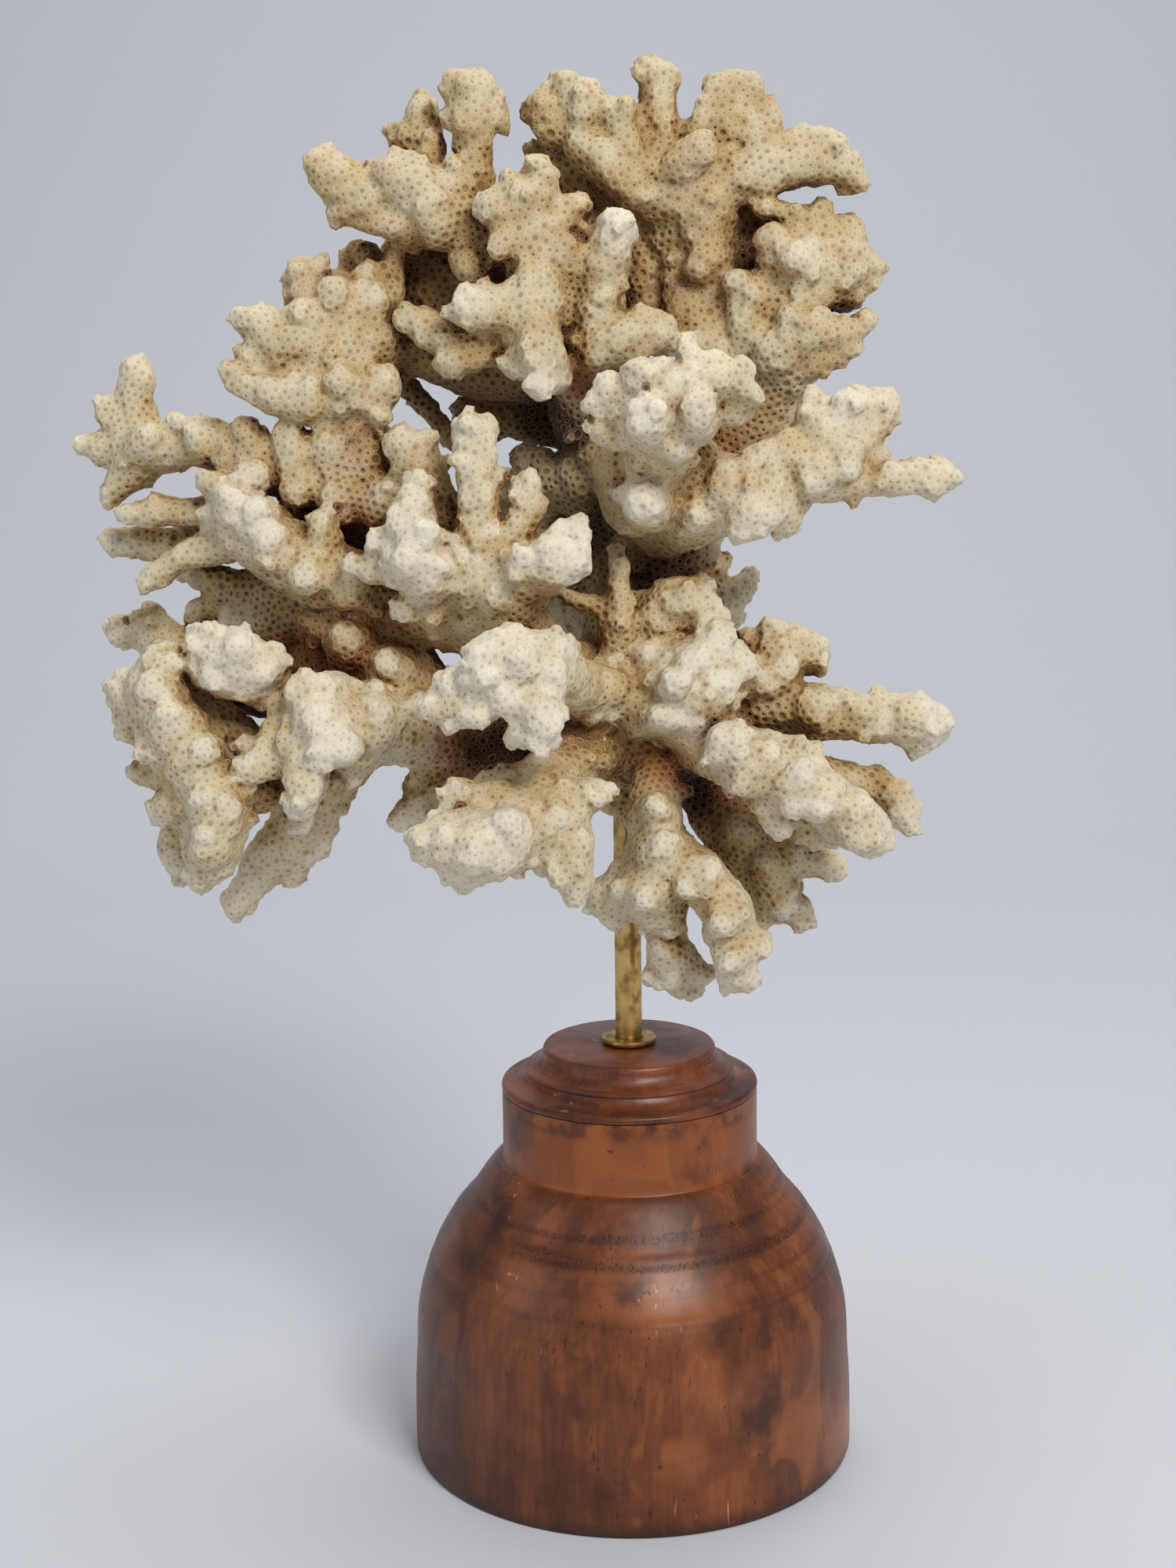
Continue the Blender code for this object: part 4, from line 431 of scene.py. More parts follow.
                 (570, 880, -36, 5), (510, 900, -32, 4)],
        "low arm": [(720, 905, -28, 5.5), (690, 950, -36, 4.8), (650, 975, -38, 3.4)],
        "right arm": [(780, 905, -16, 6), (830, 910, -28, 5.4), (880, 905, -36, 4.4), (900, 870, -38, 3)],
        "right tip": [(840, 910, -30, 4.4), (860, 950, -34, 3)],
        "out arm": [(730, 895, -26, 5.4), (730, 880, -44, 4.6), (720, 840, -56, 3.2)],
        "out knob": [(728, 880, -44, 4), (765, 870, -52, 2.8)],
        "far arm": [(560, 885, -36, 4.4), (520, 850, -42, 3.6), (480, 850, -42, 2.8)],
    },
}

print("branches:", len(CORAL), "limbs:", sum(len(limbs) for limbs in CORAL.values()))

# %% [markdown]
# The solids stop at the main limbs. These smaller knobs and fingers are added for the looks, each on the branch
# that carries it. The thicker ones, of 5 mm and more, are walls at the back of hollows and fill the clefts between
# the crown's arms. The stops are written as above.

# %% Small knobs and fingers
KNOBS = {
    "crown_stem": [
        [(525, 330, -13, 5), (548, 372, -12, 7), (585, 410, -10, 6.4)], [(565, 325, -12, 6), (592, 370, -11, 6)],
        [(770, 650, -6, 6), (715, 612, -7, 5), (672, 586, -8, 3.4)], [(740, 620, -4, 5), (728, 596, -3, 3)],
        [(700, 610, -6, 4), (688, 585, -6, 2.4)], [(780, 600, -2, 6), (760, 580, 1, 3.4)],
    ],
    "crown_right": [
        [(850, 280, -9, 5.5), (870, 340, -9, 6), (872, 400, -8, 6)], [(720, 215, -9, 4), (760, 250, -9, 5)],
        [(730, 160, -4, 3.4), (722, 104, -4, 2.4)], [(715, 165, -4, 2.8), (690, 132, -3, 1.9)],
        [(705, 175, -4, 2.4), (682, 156, -4, 1.6)], [(752, 165, -4, 3.4), (757, 114, -4, 2.4)],
        [(742, 150, -1, 2.6), (738, 118, 0, 1.8)], [(800, 190, -2, 3.8), (778, 138, -2, 2.8)],
        [(790, 150, -1, 2.6), (802, 132, 0, 1.9)], [(848, 190, -5, 3.8), (838, 96, -5, 3.2)],
        [(834, 112, -5, 2.6), (822, 100, -5, 1.9)], [(845, 108, -5, 2.6), (857, 95, -5, 1.9)],
        [(890, 190, -3, 2.8), (900, 136, -3, 1.9)], [(865, 215, -2, 4.4), (893, 190, 1, 3.4)],
        [(925, 160, -5, 4), (910, 108, -5, 2.4)], [(938, 150, -5, 3.6), (935, 104, -5, 2.4)],
        [(948, 150, -5, 3.2), (962, 106, -5, 2.1)], [(962, 185, -5, 3.2), (987, 150, -5, 2)],
        [(940, 225, -6, 6), (1000, 210, -6, 5.4), (1050, 208, -6, 4.2)], [(1000, 195, -5, 3.2), (1022, 170, -5, 2.1)],
        [(1035, 195, -5, 3.2), (1048, 172, -5, 2.1)], [(1050, 200, -5, 3.2), (1069, 180, -5, 2)],
        [(1070, 215, -5, 3.2), (1092, 224, -5, 2.1)], [(745, 185, -3, 4.4), (775, 215, -1, 4), (810, 245, -2, 4)],
        [(905, 260, -14, 6.4), (948, 290, -14, 6.4), (958, 345, -14, 7), (955, 400, -12, 7)],
        [(800, 250, -13, 6), (815, 320, -13, 7), (832, 400, -12, 7)], [(905, 330, -4, 5), (890, 345, -1, 2.8)],
    ],
    "crown_left": [
        [(600, 130, 0, 4), (586, 100, 0, 2.2)], [(612, 125, 0, 3.6), (622, 102, 0, 2)],
        [(620, 150, 0, 3.4), (641, 160, 0, 2)], [(590, 150, 0, 3), (572, 152, 0, 1.8)],
        [(535, 180, -8, 5), (540, 142, -8, 3)], [(550, 215, -3, 4), (552, 180, -3, 2.6)],
        [(530, 250, 3, 5), (500, 225, 4, 4)], [(585, 245, 2, 3.6), (574, 208, 3, 1.7)],
        [(470, 258, 1, 5.4), (430, 232, 1, 4.4), (402, 208, 1, 2.4)], [(420, 225, 1, 3), (405, 232, 1, 2)],
        [(560, 285, 3, 5), (545, 265, 6, 3)], [(600, 330, 2, 4.4), (612, 355, 5, 3)],
    ],
    "crown_middle": [
        [(757, 395, 0, 6), (765, 350, 3, 5.6), (778, 312, 7, 4.4)],
        [(745, 270, -9, 5), (748, 330, -8, 6), (752, 400, -6, 6)],
        [(640, 300, -8, 6), (645, 350, -6, 6)],
        [(665, 255, 8, 3.6), (645, 228, 8, 1.9)], [(685, 250, 9, 4.4), (692, 232, 9, 3.6)],
        [(735, 300, 5, 3), (743, 272, 5, 1.5)], [(760, 350, 6, 5), (786, 295, 10, 4.2)],
        [(672, 400, 12, 5.4), (675, 360, 13, 3)], [(650, 400, 12, 4.6), (648, 372, 13, 2)],
        [(690, 385, 12, 4.6), (700, 362, 12, 2)], [(600, 450, 9, 4.4), (572, 462, 10, 3.2)],
        [(760, 400, 8, 5), (770, 380, 11, 2.6)], [(720, 330, 9, 4), (722, 312, 11, 2.2)],
        [(650, 300, 9, 4.4), (640, 318, 12, 2.6)], [(705, 470, 12, 4), (715, 490, 13, 2.2)],
        [(810, 420, 9, 4), (815, 402, 10, 2.2)], [(840, 425, 9, 3.4), (832, 405, 9, 2)],
    ],
    "back_upper": [
        [(520, 330, -15, 6), (560, 345, -16, 7), (592, 385, -16, 7)], [(525, 375, -16, 6), (560, 410, -15, 7)],
        [(560, 330, -16, 6), (600, 350, -16, 7), (640, 400, -14, 6)], [(520, 350, -18, 6), (530, 420, -16, 5)],
    ],
    "left_long": [
        [(470, 600, 4, 6), (478, 575, 5, 4.4), (486, 556, 5, 2.6)],
        [(430, 590, 4, 6), (420, 565, 6, 4.2), (418, 548, 7, 2.4)],
        [(380, 585, 4, 5.4), (372, 562, 6, 3.6), (366, 548, 6, 2.2)],
        [(330, 580, 2, 5), (318, 556, 4, 3.2), (310, 542, 4, 2)],
        [(440, 630, 5, 6), (430, 648, 8, 3.6)], [(385, 615, 5, 5), (375, 632, 7, 3)],
        [(270, 570, 0, 4), (248, 556, 1, 2.4)],
        [(300, 575, 1, 4.2), (288, 592, 3, 2.4)], [(490, 640, 6, 6), (505, 625, 9, 3.4)],
        [(172, 500, -7, 3), (186, 488, -6, 2)], [(172, 520, -8, 3), (158, 498, -8, 2)],
        [(180, 570, -4, 4), (190, 555, -1, 2.4)],
    ],
    "left_middle": [
        [(350, 700, 9, 6), (345, 685, 13, 3.4)], [(400, 725, 10, 6), (392, 738, 14, 3.4)],
        [(300, 650, 9, 4.4), (292, 636, 12, 2.6)], [(330, 665, 10, 5), (325, 650, 13, 2.8)],
        [(450, 745, 10, 6), (455, 730, 14, 3.2)],
    ],
    "left_upper": [
        [(400, 420, 4, 6), (385, 400, 8, 3.4)], [(430, 395, 4, 5), (425, 372, 7, 3)],
        [(470, 400, 3, 5), (478, 378, 5, 2.8)], [(330, 420, 7, 3.4), (308, 402, 7, 2.2)],
        [(345, 430, 7, 3.6), (350, 408, 7, 2.4)], [(400, 515, 8, 4.4), (396, 498, 10, 2.6)],
        [(440, 500, 8, 5), (432, 482, 11, 3)], [(480, 500, 6, 5), (492, 482, 8, 2.8)],
        [(350, 505, 9, 3.6), (338, 492, 10, 2.2)], [(310, 490, 8, 2.6), (290, 470, 8, 1.8)],
        [(480, 440, 2, 5), (492, 420, 4, 2.6)], [(470, 330, -4, 3), (455, 322, -7, 2.4)],
    ],
    "fan_right": [
        [(1000, 330, -3, 6), (985, 305, 0, 3.4)], [(1020, 350, -1, 5.4), (1015, 330, 3, 3.4)],
        [(950, 430, -3, 6), (945, 405, 0, 3)], [(1080, 340, -3, 5), (1085, 318, -2, 2.8)],
        [(1060, 320, -4, 5), (1062, 285, -4, 2.2)], [(960, 380, -2, 5), (935, 360, 0, 2.6)],
        [(1040, 420, 2, 4), (1045, 402, 3, 2.2)], [(1010, 425, 2, 4), (1008, 405, 3, 2.4)],
    ],
    "front_cluster": [
        [(800, 530, 28, 4), (782, 515, 31, 3.4), (774, 490, 33, 2.2)], [(782, 515, 31, 3), (764, 520, 32, 1.9)],
        [(825, 505, 33, 4), (822, 480, 36, 2.8)], [(812, 480, 35, 2.4), (806, 466, 36, 1.6)],
        [(836, 480, 35, 2.4), (843, 466, 36, 1.6)], [(875, 500, 32, 3.8), (878, 465, 33, 2.6), (877, 436, 33, 1.6)],
        [(830, 545, 30, 5), (827, 533, 37, 4)], [(827, 533, 37, 3.4), (812, 545, 39, 2)],
        [(827, 533, 37, 3.4), (838, 520, 40, 2)], [(885, 540, 30, 4.6), (886, 528, 36, 3.6)],
        [(886, 528, 36, 2.8), (898, 518, 38, 1.8)], [(785, 550, 27, 4), (758, 546, 30, 2.2)],
        [(905, 490, 31, 4), (910, 462, 32, 2.4)], [(930, 495, 30, 4), (952, 470, 31, 2.2)],
        [(930, 510, 28, 5), (950, 505, 30, 2.6)], [(860, 565, 28, 4.6), (862, 572, 33, 2.6)],
        [(830, 640, 16, 6), (822, 640, 26, 4)], [(800, 600, 14, 7), (810, 640, 10, 7)],
        [(880, 600, 14, 7), (890, 640, 12, 7)], [(850, 500, 33, 3), (856, 484, 35, 1.8)],
    ],
    "right_arm": [
        [(900, 640, 16, 5), (885, 655, 19, 3)], [(930, 620, 19, 5), (925, 600, 21, 2.6)],
        [(1010, 580, 18, 4.6), (1005, 560, 18, 2.2)], [(1045, 545, 17, 4), (1030, 528, 17, 2)],
        [(1075, 580, 19, 4.4), (1080, 596, 21, 2.6)], [(1110, 545, 15, 3.4), (1135, 535, 14, 1.8)],
        [(970, 640, 20, 5), (978, 658, 22, 2.6)], [(1040, 600, 19, 5), (1035, 615, 21, 3)],
        [(1130, 610, 17, 3), (1132, 598, 18, 1.8)], [(1185, 608, 16, 3.4), (1200, 598, 16, 2)],
    ],
    "coral_trunk": [
        [(845, 790, 10, 6), (862, 772, 14, 3)], [(830, 850, 8, 7), (828, 838, 14, 3.4)],
        [(880, 860, 16, 6), (885, 845, 21, 3.2)], [(895, 880, 18, 6), (915, 872, 20, 3.2)],
        [(850, 900, 14, 6), (852, 915, 20, 3.2)], [(880, 900, 16, 5), (888, 922, 20, 2.8)],
        [(790, 860, 8, 6), (780, 845, 13, 3)], [(905, 800, 12, 4.4), (918, 790, 13, 2.4)],
        [(860, 880, 20, 4), (862, 868, 24, 2.6)], [(915, 850, 18, 4), (930, 840, 18, 2)],
    ],
    "centre_branch": [
        [(609, 690, 21, 4), (624, 680, 22, 2.4)], [(608, 640, 21, 3.8), (594, 632, 22, 2)],
        [(606, 600, 21, 3.8), (620, 590, 21, 2)], [(606, 575, 21, 3.4), (592, 562, 21, 1.8)],
        [(530, 690, 24, 4.6), (545, 680, 27, 2.6)], [(525, 660, 23, 4), (510, 655, 24, 2.2)],
        [(530, 720, 23, 5), (520, 712, 27, 3)], [(548, 740, 22, 5), (555, 725, 26, 2.8)],
        [(700, 720, 27, 4.6), (705, 705, 30, 2.8)], [(675, 640, 21, 2.4), (660, 630, 21, 1.7)],
        [(670, 660, 21, 2.8), (686, 650, 21, 1.8)], [(650, 770, 20, 6), (640, 760, 24, 3)],
    ],
    "centre_hand": [
        [(690, 850, 34, 5.4), (705, 865, 38, 3)], [(660, 850, 37, 5), (662, 838, 41, 2.8)],
        [(630, 850, 38, 4.6), (622, 862, 41, 2.6)], [(610, 870, 37, 4.4), (598, 862, 39, 2.2)],
        [(640, 880, 37, 4.6), (645, 895, 40, 2.6)], [(690, 910, 40, 4), (700, 925, 42, 2.4)],
        [(585, 890, 36, 3.4), (572, 880, 37, 2)], [(600, 900, 37, 3.4), (600, 915, 38, 2.2)],
    ],
    "lower_slab": [
        [(650, 1065, 40, 5.4), (648, 1050, 44, 2.8)], [(610, 1080, 42, 5.4), (606, 1095, 45, 2.8)],
        [(575, 1078, 41, 4.4), (566, 1066, 43, 2.4)], [(680, 1040, 34, 5), (672, 1052, 38, 2.8)],
        [(700, 1030, 34, 5), (712, 1042, 38, 2.8)], [(635, 1090, 41, 5), (640, 1105, 42, 2.4)],
        [(545, 1075, 40, 3), (532, 1068, 40, 2)], [(730, 1080, 36, 4), (742, 1068, 37, 2.2)],
        [(725, 1110, 37, 3.6), (715, 1122, 38, 2.2)], [(600, 1055, 38, 4), (590, 1042, 38, 2)],
        [(640, 1010, 28, 4), (652, 1000, 29, 2.4)], [(590, 1030, 34, 3.6), (572, 1034, 35, 2)],
    ],
    "lower_centre": [
        [(836, 1040, 18, 5), (838, 1030, 22, 3)], [(840, 1090, 20, 6), (846, 1078, 24, 3.2)],
        [(830, 1130, 20, 6), (822, 1142, 24, 3.2)], [(895, 1122, 23, 4.6), (905, 1110, 25, 2.6)],
        [(928, 1170, 25, 4.4), (915, 1180, 28, 2.6)], [(938, 1215, 24, 4.4), (928, 1228, 27, 2.4)],
        [(940, 1240, 23, 3.4), (955, 1248, 23, 2)], [(855, 1215, 12, 4), (842, 1208, 14, 2.2)],
        [(880, 1115, 22, 4.6), (875, 1130, 25, 2.6)], [(770, 1148, 15, 3), (760, 1140, 15, 1.8)],
    ],
    "right_lower": [
        [(970, 975, 26, 5.4), (980, 962, 28, 2.8)], [(1010, 995, 27, 5), (1020, 985, 30, 2.8)],
        [(1050, 1015, 27, 5), (1045, 1030, 30, 2.8)], [(1085, 1040, 27, 4.6), (1098, 1030, 28, 2.4)],
        [(1100, 1060, 27, 4), (1092, 1074, 28, 2.2)], [(950, 985, 27, 5), (945, 998, 29, 2.8)],
        [(1130, 1010, 10, 3.4), (1150, 1002, 10, 2)], [(1020, 1015, 27, 4.4), (1012, 1028, 29, 2.4)],
    ],
    "lower_right": [
        [(950, 1075, 7, 5.6), (942, 1060, 10, 3)], [(985, 1110, 8, 5), (975, 1098, 11, 2.8)],
        [(1000, 1095, 7, 4), (1010, 1082, 8, 2.2)], [(990, 1140, 8, 4), (1002, 1150, 9, 2.2)],
    ],
    "right_middle": [
        [(1000, 835, 11, 4.6), (1002, 848, 14, 2.8)], [(985, 860, 12, 5), (972, 870, 15, 2.8)],
        [(1100, 912, 14, 4.4), (1098, 900, 15, 2.4)], [(1160, 915, 14, 4.4), (1172, 905, 15, 2.2)],
        [(1040, 905, 15, 4.6), (1048, 918, 16, 2.4)], [(1025, 830, 10, 3.6), (1046, 824, 9, 1.8)],
    ],
    "left_centre": [
        [(303, 840, 20, 5), (305, 825, 23, 2.8)], [(280, 845, 19, 4.4), (272, 858, 21, 2.6)],
        [(330, 850, 19, 4.4), (335, 862, 21, 2.6)], [(410, 925, 24, 6), (400, 912, 27, 3)],
        [(430, 945, 25, 5), (440, 958, 28, 3)], [(400, 960, 24, 5), (410, 972, 28, 2.8)],
        [(388, 1000, 26, 4), (398, 1010, 28, 2.2)], [(470, 920, 18, 7), (478, 905, 22, 3)],
        [(520, 920, 12, 7), (530, 905, 16, 3.2)], [(500, 860, 8, 7), (495, 845, 14, 3)],
        [(450, 820, 8, 6), (440, 810, 12, 3)], [(560, 940, 14, 6), (552, 952, 18, 3)],
    ],
    "left_hand": [
        [(225, 930, 18, 6.6), (215, 918, 22, 3.4)], [(205, 890, 16, 6), (195, 878, 20, 3.2)],
        [(250, 970, 19, 6.6), (262, 958, 23, 3.2)], [(280, 1040, 23, 5.6), (290, 1028, 26, 3)],
        [(270, 1080, 24, 4.6), (260, 1068, 27, 2.6)], [(270, 1010, 21, 6), (262, 1022, 25, 3)],
        [(300, 1000, 18, 5.4), (310, 988, 21, 3)], [(208, 860, 15, 4.4), (222, 850, 17, 2.4)],
        [(262, 1105, 22, 3), (250, 1114, 22, 1.8)], [(180, 900, 12, 4), (165, 892, 12, 2)],
    ],
}
print("small knobs:", sum(len(routes) for routes in KNOBS.values()))

# %% [markdown]
# Each limb is walked from stop to stop, and a ball is set down at every small step. Knobs, nodules and cups come
# on top later, so all limbs start a little slimmer than they look, and four branches with fine fingers more so.
# Side knobs and the nodules round a tip are drawn at random from one seed, so every run gives the same coral.

# %% Beads along the limbs
SEED = 11
BEAD_STEP = 0.35
THINNEST_BEAD = 0.8
LIMB_SLIM = 0.93
SLIMMER = {"front_cluster": 0.66, "centre_hand": 0.86, "left_upper": 0.86, "fan_right": 0.88}
KNOB_SLIM = 0.9
KNOB_SHARE_FROM = 0.4
TIP_FROM = 0.8
TIP_CROWDING = 0.45
TIP_LEAN = (0.2, 1.4)
SIDE_KNOB_EVERY = 3.0 * MM
BARE_BELOW = 1.6 * MM
KNOB_SHARES = (0.3, 0.5)
KNOB_SIZES = (1.0 * MM, 1.7 * MM)
FINGER_FROM = 0.4
FINGER_SHARE = 0.5
FINGER_STRIDE = 0.55
FINGER_TAPER = 0.14
TIP_KNOBS = 6
TIP_KNOB_AHEAD = 0.75
TIP_KNOB_SHARES = (0.34, 0.5)
TIP_KNOB_SIZES = (0.8 * MM, 1.25 * MM)
TIP_KNOB_CAP = (0.6, 0.8)
chance = np.random.default_rng(SEED)


def between(before, start, end, after, t):
    """A smooth curve's value between start and end, for points or plain numbers."""
    return 0.5 * (2 * start + (end - before) * t + (2 * before - 5 * start + 4 * end - after) * t * t
                  + (3 * start - before - 3 * end + after) * t * t * t)


def beads_along(route, slim):
    """(centre, radius, share of the way) of the balls that fill one limb."""
    stops = [(seen(across, down, near), radius * slim * MM) for across, down, near, radius in route]
    beads = [(stops[0][0], stops[0][1], 0.0)]
    for i in range(len(stops) - 1):
        before, after = stops[max(i - 1, 0)], stops[min(i + 2, len(stops) - 1)]
        start, end = stops[i], stops[i + 1]
        thinnest = min(start[1], end[1])
        count = max(1, math.ceil((end[0] - start[0]).length / (BEAD_STEP * thinnest)))
        for step in range(1, count + 1):
            t = step / count
            centre = between(before[0], start[0], end[0], after[0], t)
            radius = between(before[1], start[1], end[1], after[1], t)
            beads.append((centre, max(radius, THINNEST_BEAD * thinnest), (i + t) / (len(stops) - 1)))
    return beads


def knobs_on(beads):
    """Small nodules that stand out of a limb's sides and crowd round its tip, as on the real branches."""
    knobs = []
    walked = 0.0
    for (last, _, _), (centre, radius, share) in zip(beads, beads[1:]):
        way = centre - last
        walked += way.length
        tip = share > TIP_FROM
        if walked < SIDE_KNOB_EVERY * (TIP_CROWDING if tip else 1.0) or radius < BARE_BELOW:
            continue
        walked = 0.0
        lean = Vector(chance.normal(size=3)).cross(way.normalized())
        if tip:
            lean += way.normalized() * chance.uniform(*TIP_LEAN)
        lean.normalize()
        size = min(max(radius * chance.uniform(*KNOB_SHARES), KNOB_SIZES[0]), KNOB_SIZES[1])
        out = radius - size * chance.uniform(0.0, 0.5)
        steps = 3 if share > FINGER_FROM and chance.random() < FINGER_SHARE else 2
        for step in range(steps):
            knobs.append((centre + lean * (out + FINGER_STRIDE * step * size), size * (1 - FINGER_TAPER * step),
                          max(share, 0.5)))
    end, radius, _ = beads[-1]
    ahead = (end - beads[-2][0]).normalized()
    for _ in range(TIP_KNOBS):
        lean = (Vector(chance.normal(size=3)).normalized() + ahead * TIP_KNOB_AHEAD).normalized()
        size = min(max(radius * chance.uniform(*TIP_KNOB_SHARES), TIP_KNOB_SIZES[0]), TIP_KNOB_SIZES[1])
        knobs.append((end + lean * radius, size, 1.0))
        knobs.append((end + lean * (radius + TIP_KNOB_CAP[0] * size), TIP_KNOB_CAP[1] * size, 1.0))
    return knobs


beads = []
for branch, (name, limbs) in enumerate(CORAL.items()):
    for route in limbs.values():
        limb = beads_along(route, SLIMMER.get(name, LIMB_SLIM))
        beads += [(*bead, branch) for bead in limb + knobs_on(limb)]
    for route in KNOBS.get(name, ()):
        beads += [(centre, radius, KNOB_SHARE_FROM + (1 - KNOB_SHARE_FROM) * share, branch)
                  for centre, radius, share in beads_along(route, KNOB_SLIM)]
bead_centres = np.array([bead[0][:] for bead in beads])
bead_radii = np.array([bead[1] for bead in beads])
bead_shares = np.array([bead[2] for bead in beads])
bead_branches = np.array([bead[3] for bead in beads])
print("beads:", len(beads))

# %% [markdown]
# ## One skin over all the beads
# One ball is modelled and copied to every bead. The Remesh modifier makes one closed skin of them, and Smooth
# takes the steps out of it. Displace modifiers then roughen it: soft lumps everywhere, so that no stretch stays
# as even as a sausage, and round nodules, stronger on the branches' ends than on their shafts.

# %% Skin
SKIN_VOXEL = 0.5 * MM
SKIN_SWELL = 0.05 * MM
LUMPS = {"name": "lumps", "kind": "CLOUDS", "size": 4.2 * MM, "height": 1.1 * MM, "group": ""}
SHAFT_NODULES = {"name": "shaft nodules", "kind": "VORONOI", "size": 3.0 * MM, "height": -0.8 * MM, "group": ""}
TIP_NODULES = {"name": "tip nodules", "kind": "VORONOI", "size": 2.2 * MM, "height": -1.4 * MM, "group": "ends"}
ENDS_FROM = 0.35
ENDS_OVER = 0.5
ENDS_BELOW = 5.2 * MM
END_STEPS = 10


def deselect_all():
    bpy.ops.object.select_all(action="DESELECT")


def select_only(thing):
    deselect_all()
    thing.select_set(True)
    bpy.context.view_layer.objects.active = thing


def mesh_object(name, points, corners, sizes):
    """An object from arrays: points, the corners of all faces in a row, and how many corners each face has."""
    mesh = bpy.data.meshes.new(name)
    mesh.vertices.add(len(points))
    mesh.vertices.foreach_set("co", np.asarray(points, np.float32).ravel())
    mesh.loops.add(len(corners))
    mesh.loops.foreach_set("vertex_index", np.asarray(corners, np.int32))
    mesh.polygons.add(len(sizes))
    starts = np.concatenate([[0], np.cumsum(sizes)[:-1]])
    mesh.polygons.foreach_set("loop_start", starts.astype(np.int32))
    mesh.update(calc_edges=True)
    made = bpy.data.objects.new(name, mesh)
    bpy.context.scene.collection.objects.link(made)
    return made


def apply_modifier(thing, kind, **values):
    modifier = thing.modifiers.new(kind.lower(), kind)
    for key, value in values.items():
        setattr(modifier, key, value)
    select_only(thing)
    bpy.ops.object.modifier_apply(modifier=modifier.name)


def read(thing, what, field, width, dtype):
    """One column of a mesh's data as an array."""
    data = getattr(thing.data, what)
    values = np.empty(len(data) * width, dtype)
    data.foreach_get(field, values)
    return values.reshape(-1, width) if width > 1 else values


deselect_all()
bpy.ops.mesh.primitive_ico_sphere_add(subdivisions=2, radius=1.0)
ball = bpy.context.object
ball_points = read(ball, "vertices", "co", 3, np.float32)
ball_faces = read(ball, "loops", "vertex_index", 1, np.int32)
bpy.data.objects.remove(ball)

points = (bead_centres[:, None] + ball_points[None] * (bead_radii + SKIN_SWELL)[:, None, None]).reshape(-1, 3)
corners = (ball_faces[None] + (np.arange(len(beads)) * len(ball_points))[:, None]).ravel()
skin = mesh_object("skin", points, corners, np.full(len(corners) // 3, 3))
apply_modifier(skin, "REMESH", mode="VOXEL", voxel_size=SKIN_VOXEL)
apply_modifier(skin, "SMOOTH", factor=0.5, iterations=2)

bead_tree = kdtree.KDTree(len(beads))
for i, centre in enumerate(bead_centres):
    bead_tree.insert(centre, i)
bead_tree.balance()
nearest = np.array([bead_tree.find(point)[1] for point in read(skin, "vertices", "co", 3, np.float32)])
endness = ((bead_shares[nearest] - ENDS_FROM) / ENDS_OVER).clip(0, 1) * (bead_radii[nearest] < ENDS_BELOW)
ends = skin.vertex_groups.new(name="ends")
level = np.round(endness * END_STEPS).astype(int)
for step in range(1, END_STEPS + 1):
    ends.add(np.nonzero(level == step)[0].tolist(), step / END_STEPS, "REPLACE")
for rough in (LUMPS, SHAFT_NODULES, TIP_NODULES):
    texture = bpy.data.textures.new(rough["name"], rough["kind"])
    texture.noise_scale = rough["size"]
    apply_modifier(skin, "DISPLACE", texture=texture, strength=rough["height"], mid_level=0.5,
                   vertex_group=rough["group"])
apply_modifier(skin, "SMOOTH", factor=0.5, iterations=2)
print("skin faces:", len(skin.data.polygons))

# %% [markdown]
# Where beads crowd together they close in pockets of air, and the remesh gives those a skin of their own. Nobody
# can see them, so only the shells that hold volume are kept.

# %% Shells
def face_pairs(thing):
    """The two faces at every edge, and the edges in the same order."""
    loop_edges = read(thing, "loops", "edge_index", 1, np.int32)
    loop_totals = read(thing, "polygons", "loop_total", 1, np.int32)
    loop_faces = np.repeat(np.arange(len(loop_totals)), loop_totals)
    by_edge = np.argsort(loop_edges, kind="stable")
    return loop_faces[by_edge][0::2], loop_faces[by_edge][1::2], loop_edges[by_edge][0::2]


def shells(thing):
    """The number of the shell that each face belongs to."""
    one, other, _ = face_pairs(thing)
    label = np.arange(len(thing.data.polygons))
    while True:
        low = label.copy()
        np.minimum.at(low, one, label[other])
        np.minimum.at(low, other, label[one])
        low = low[low]
        if (low == label).all():
            return label
        label = low


SMALLEST_SHELL = 400
skin_points = read(skin, "vertices", "co", 3, np.float32)
skin_corners = read(skin, "loops", "vertex_index", 1, np.int32).reshape(-1, 4)
shell = shells(skin)
quad = skin_points[skin_corners].astype(float)
cone = (quad[:, 0] * np.cross(quad[:, 1] - quad[:, 0], quad[:, 2] - quad[:, 0])).sum(1)
cone += (quad[:, 0] * np.cross(quad[:, 2] - quad[:, 0], quad[:, 3] - quad[:, 0])).sum(1)
holds = np.bincount(shell, weights=cone) > 0
wanted = holds[shell] & (np.bincount(shell)[shell] > SMALLEST_SHELL)
used, wanted_corners = np.unique(skin_corners[wanted], return_inverse=True)
bpy.data.objects.remove(skin)
skin = mesh_object("skin", skin_points[used], wanted_corners.ravel(), np.full(wanted.sum(), 4))
print("shells:", len(np.unique(shell)), "kept:", len(np.unique(shell[wanted])), "faces left out:", (~wanted).sum())

# %% [markdown]
# ## The cups: even cells all over the skin
# Each polyp left a round cup about 1.5 mm from the next, packed like a honeycomb. An image or a bump map could
# draw them, but the real ones are holes with walls, so they are cut into the mesh. First the skin is shared out
# in even cells: seeds are scattered no closer than a set distance, every face goes to its nearest seed, and
# each seed moves to the middle of its cell a few times. The borders become seams, and a Decimate modifier
# dissolves all the rest, which leaves one polygon for each cup.

# %% Cells
CUP_SPACING = 1.155 * MM
EVENING_ROUNDS = 3
GROW_ROUNDS = 30

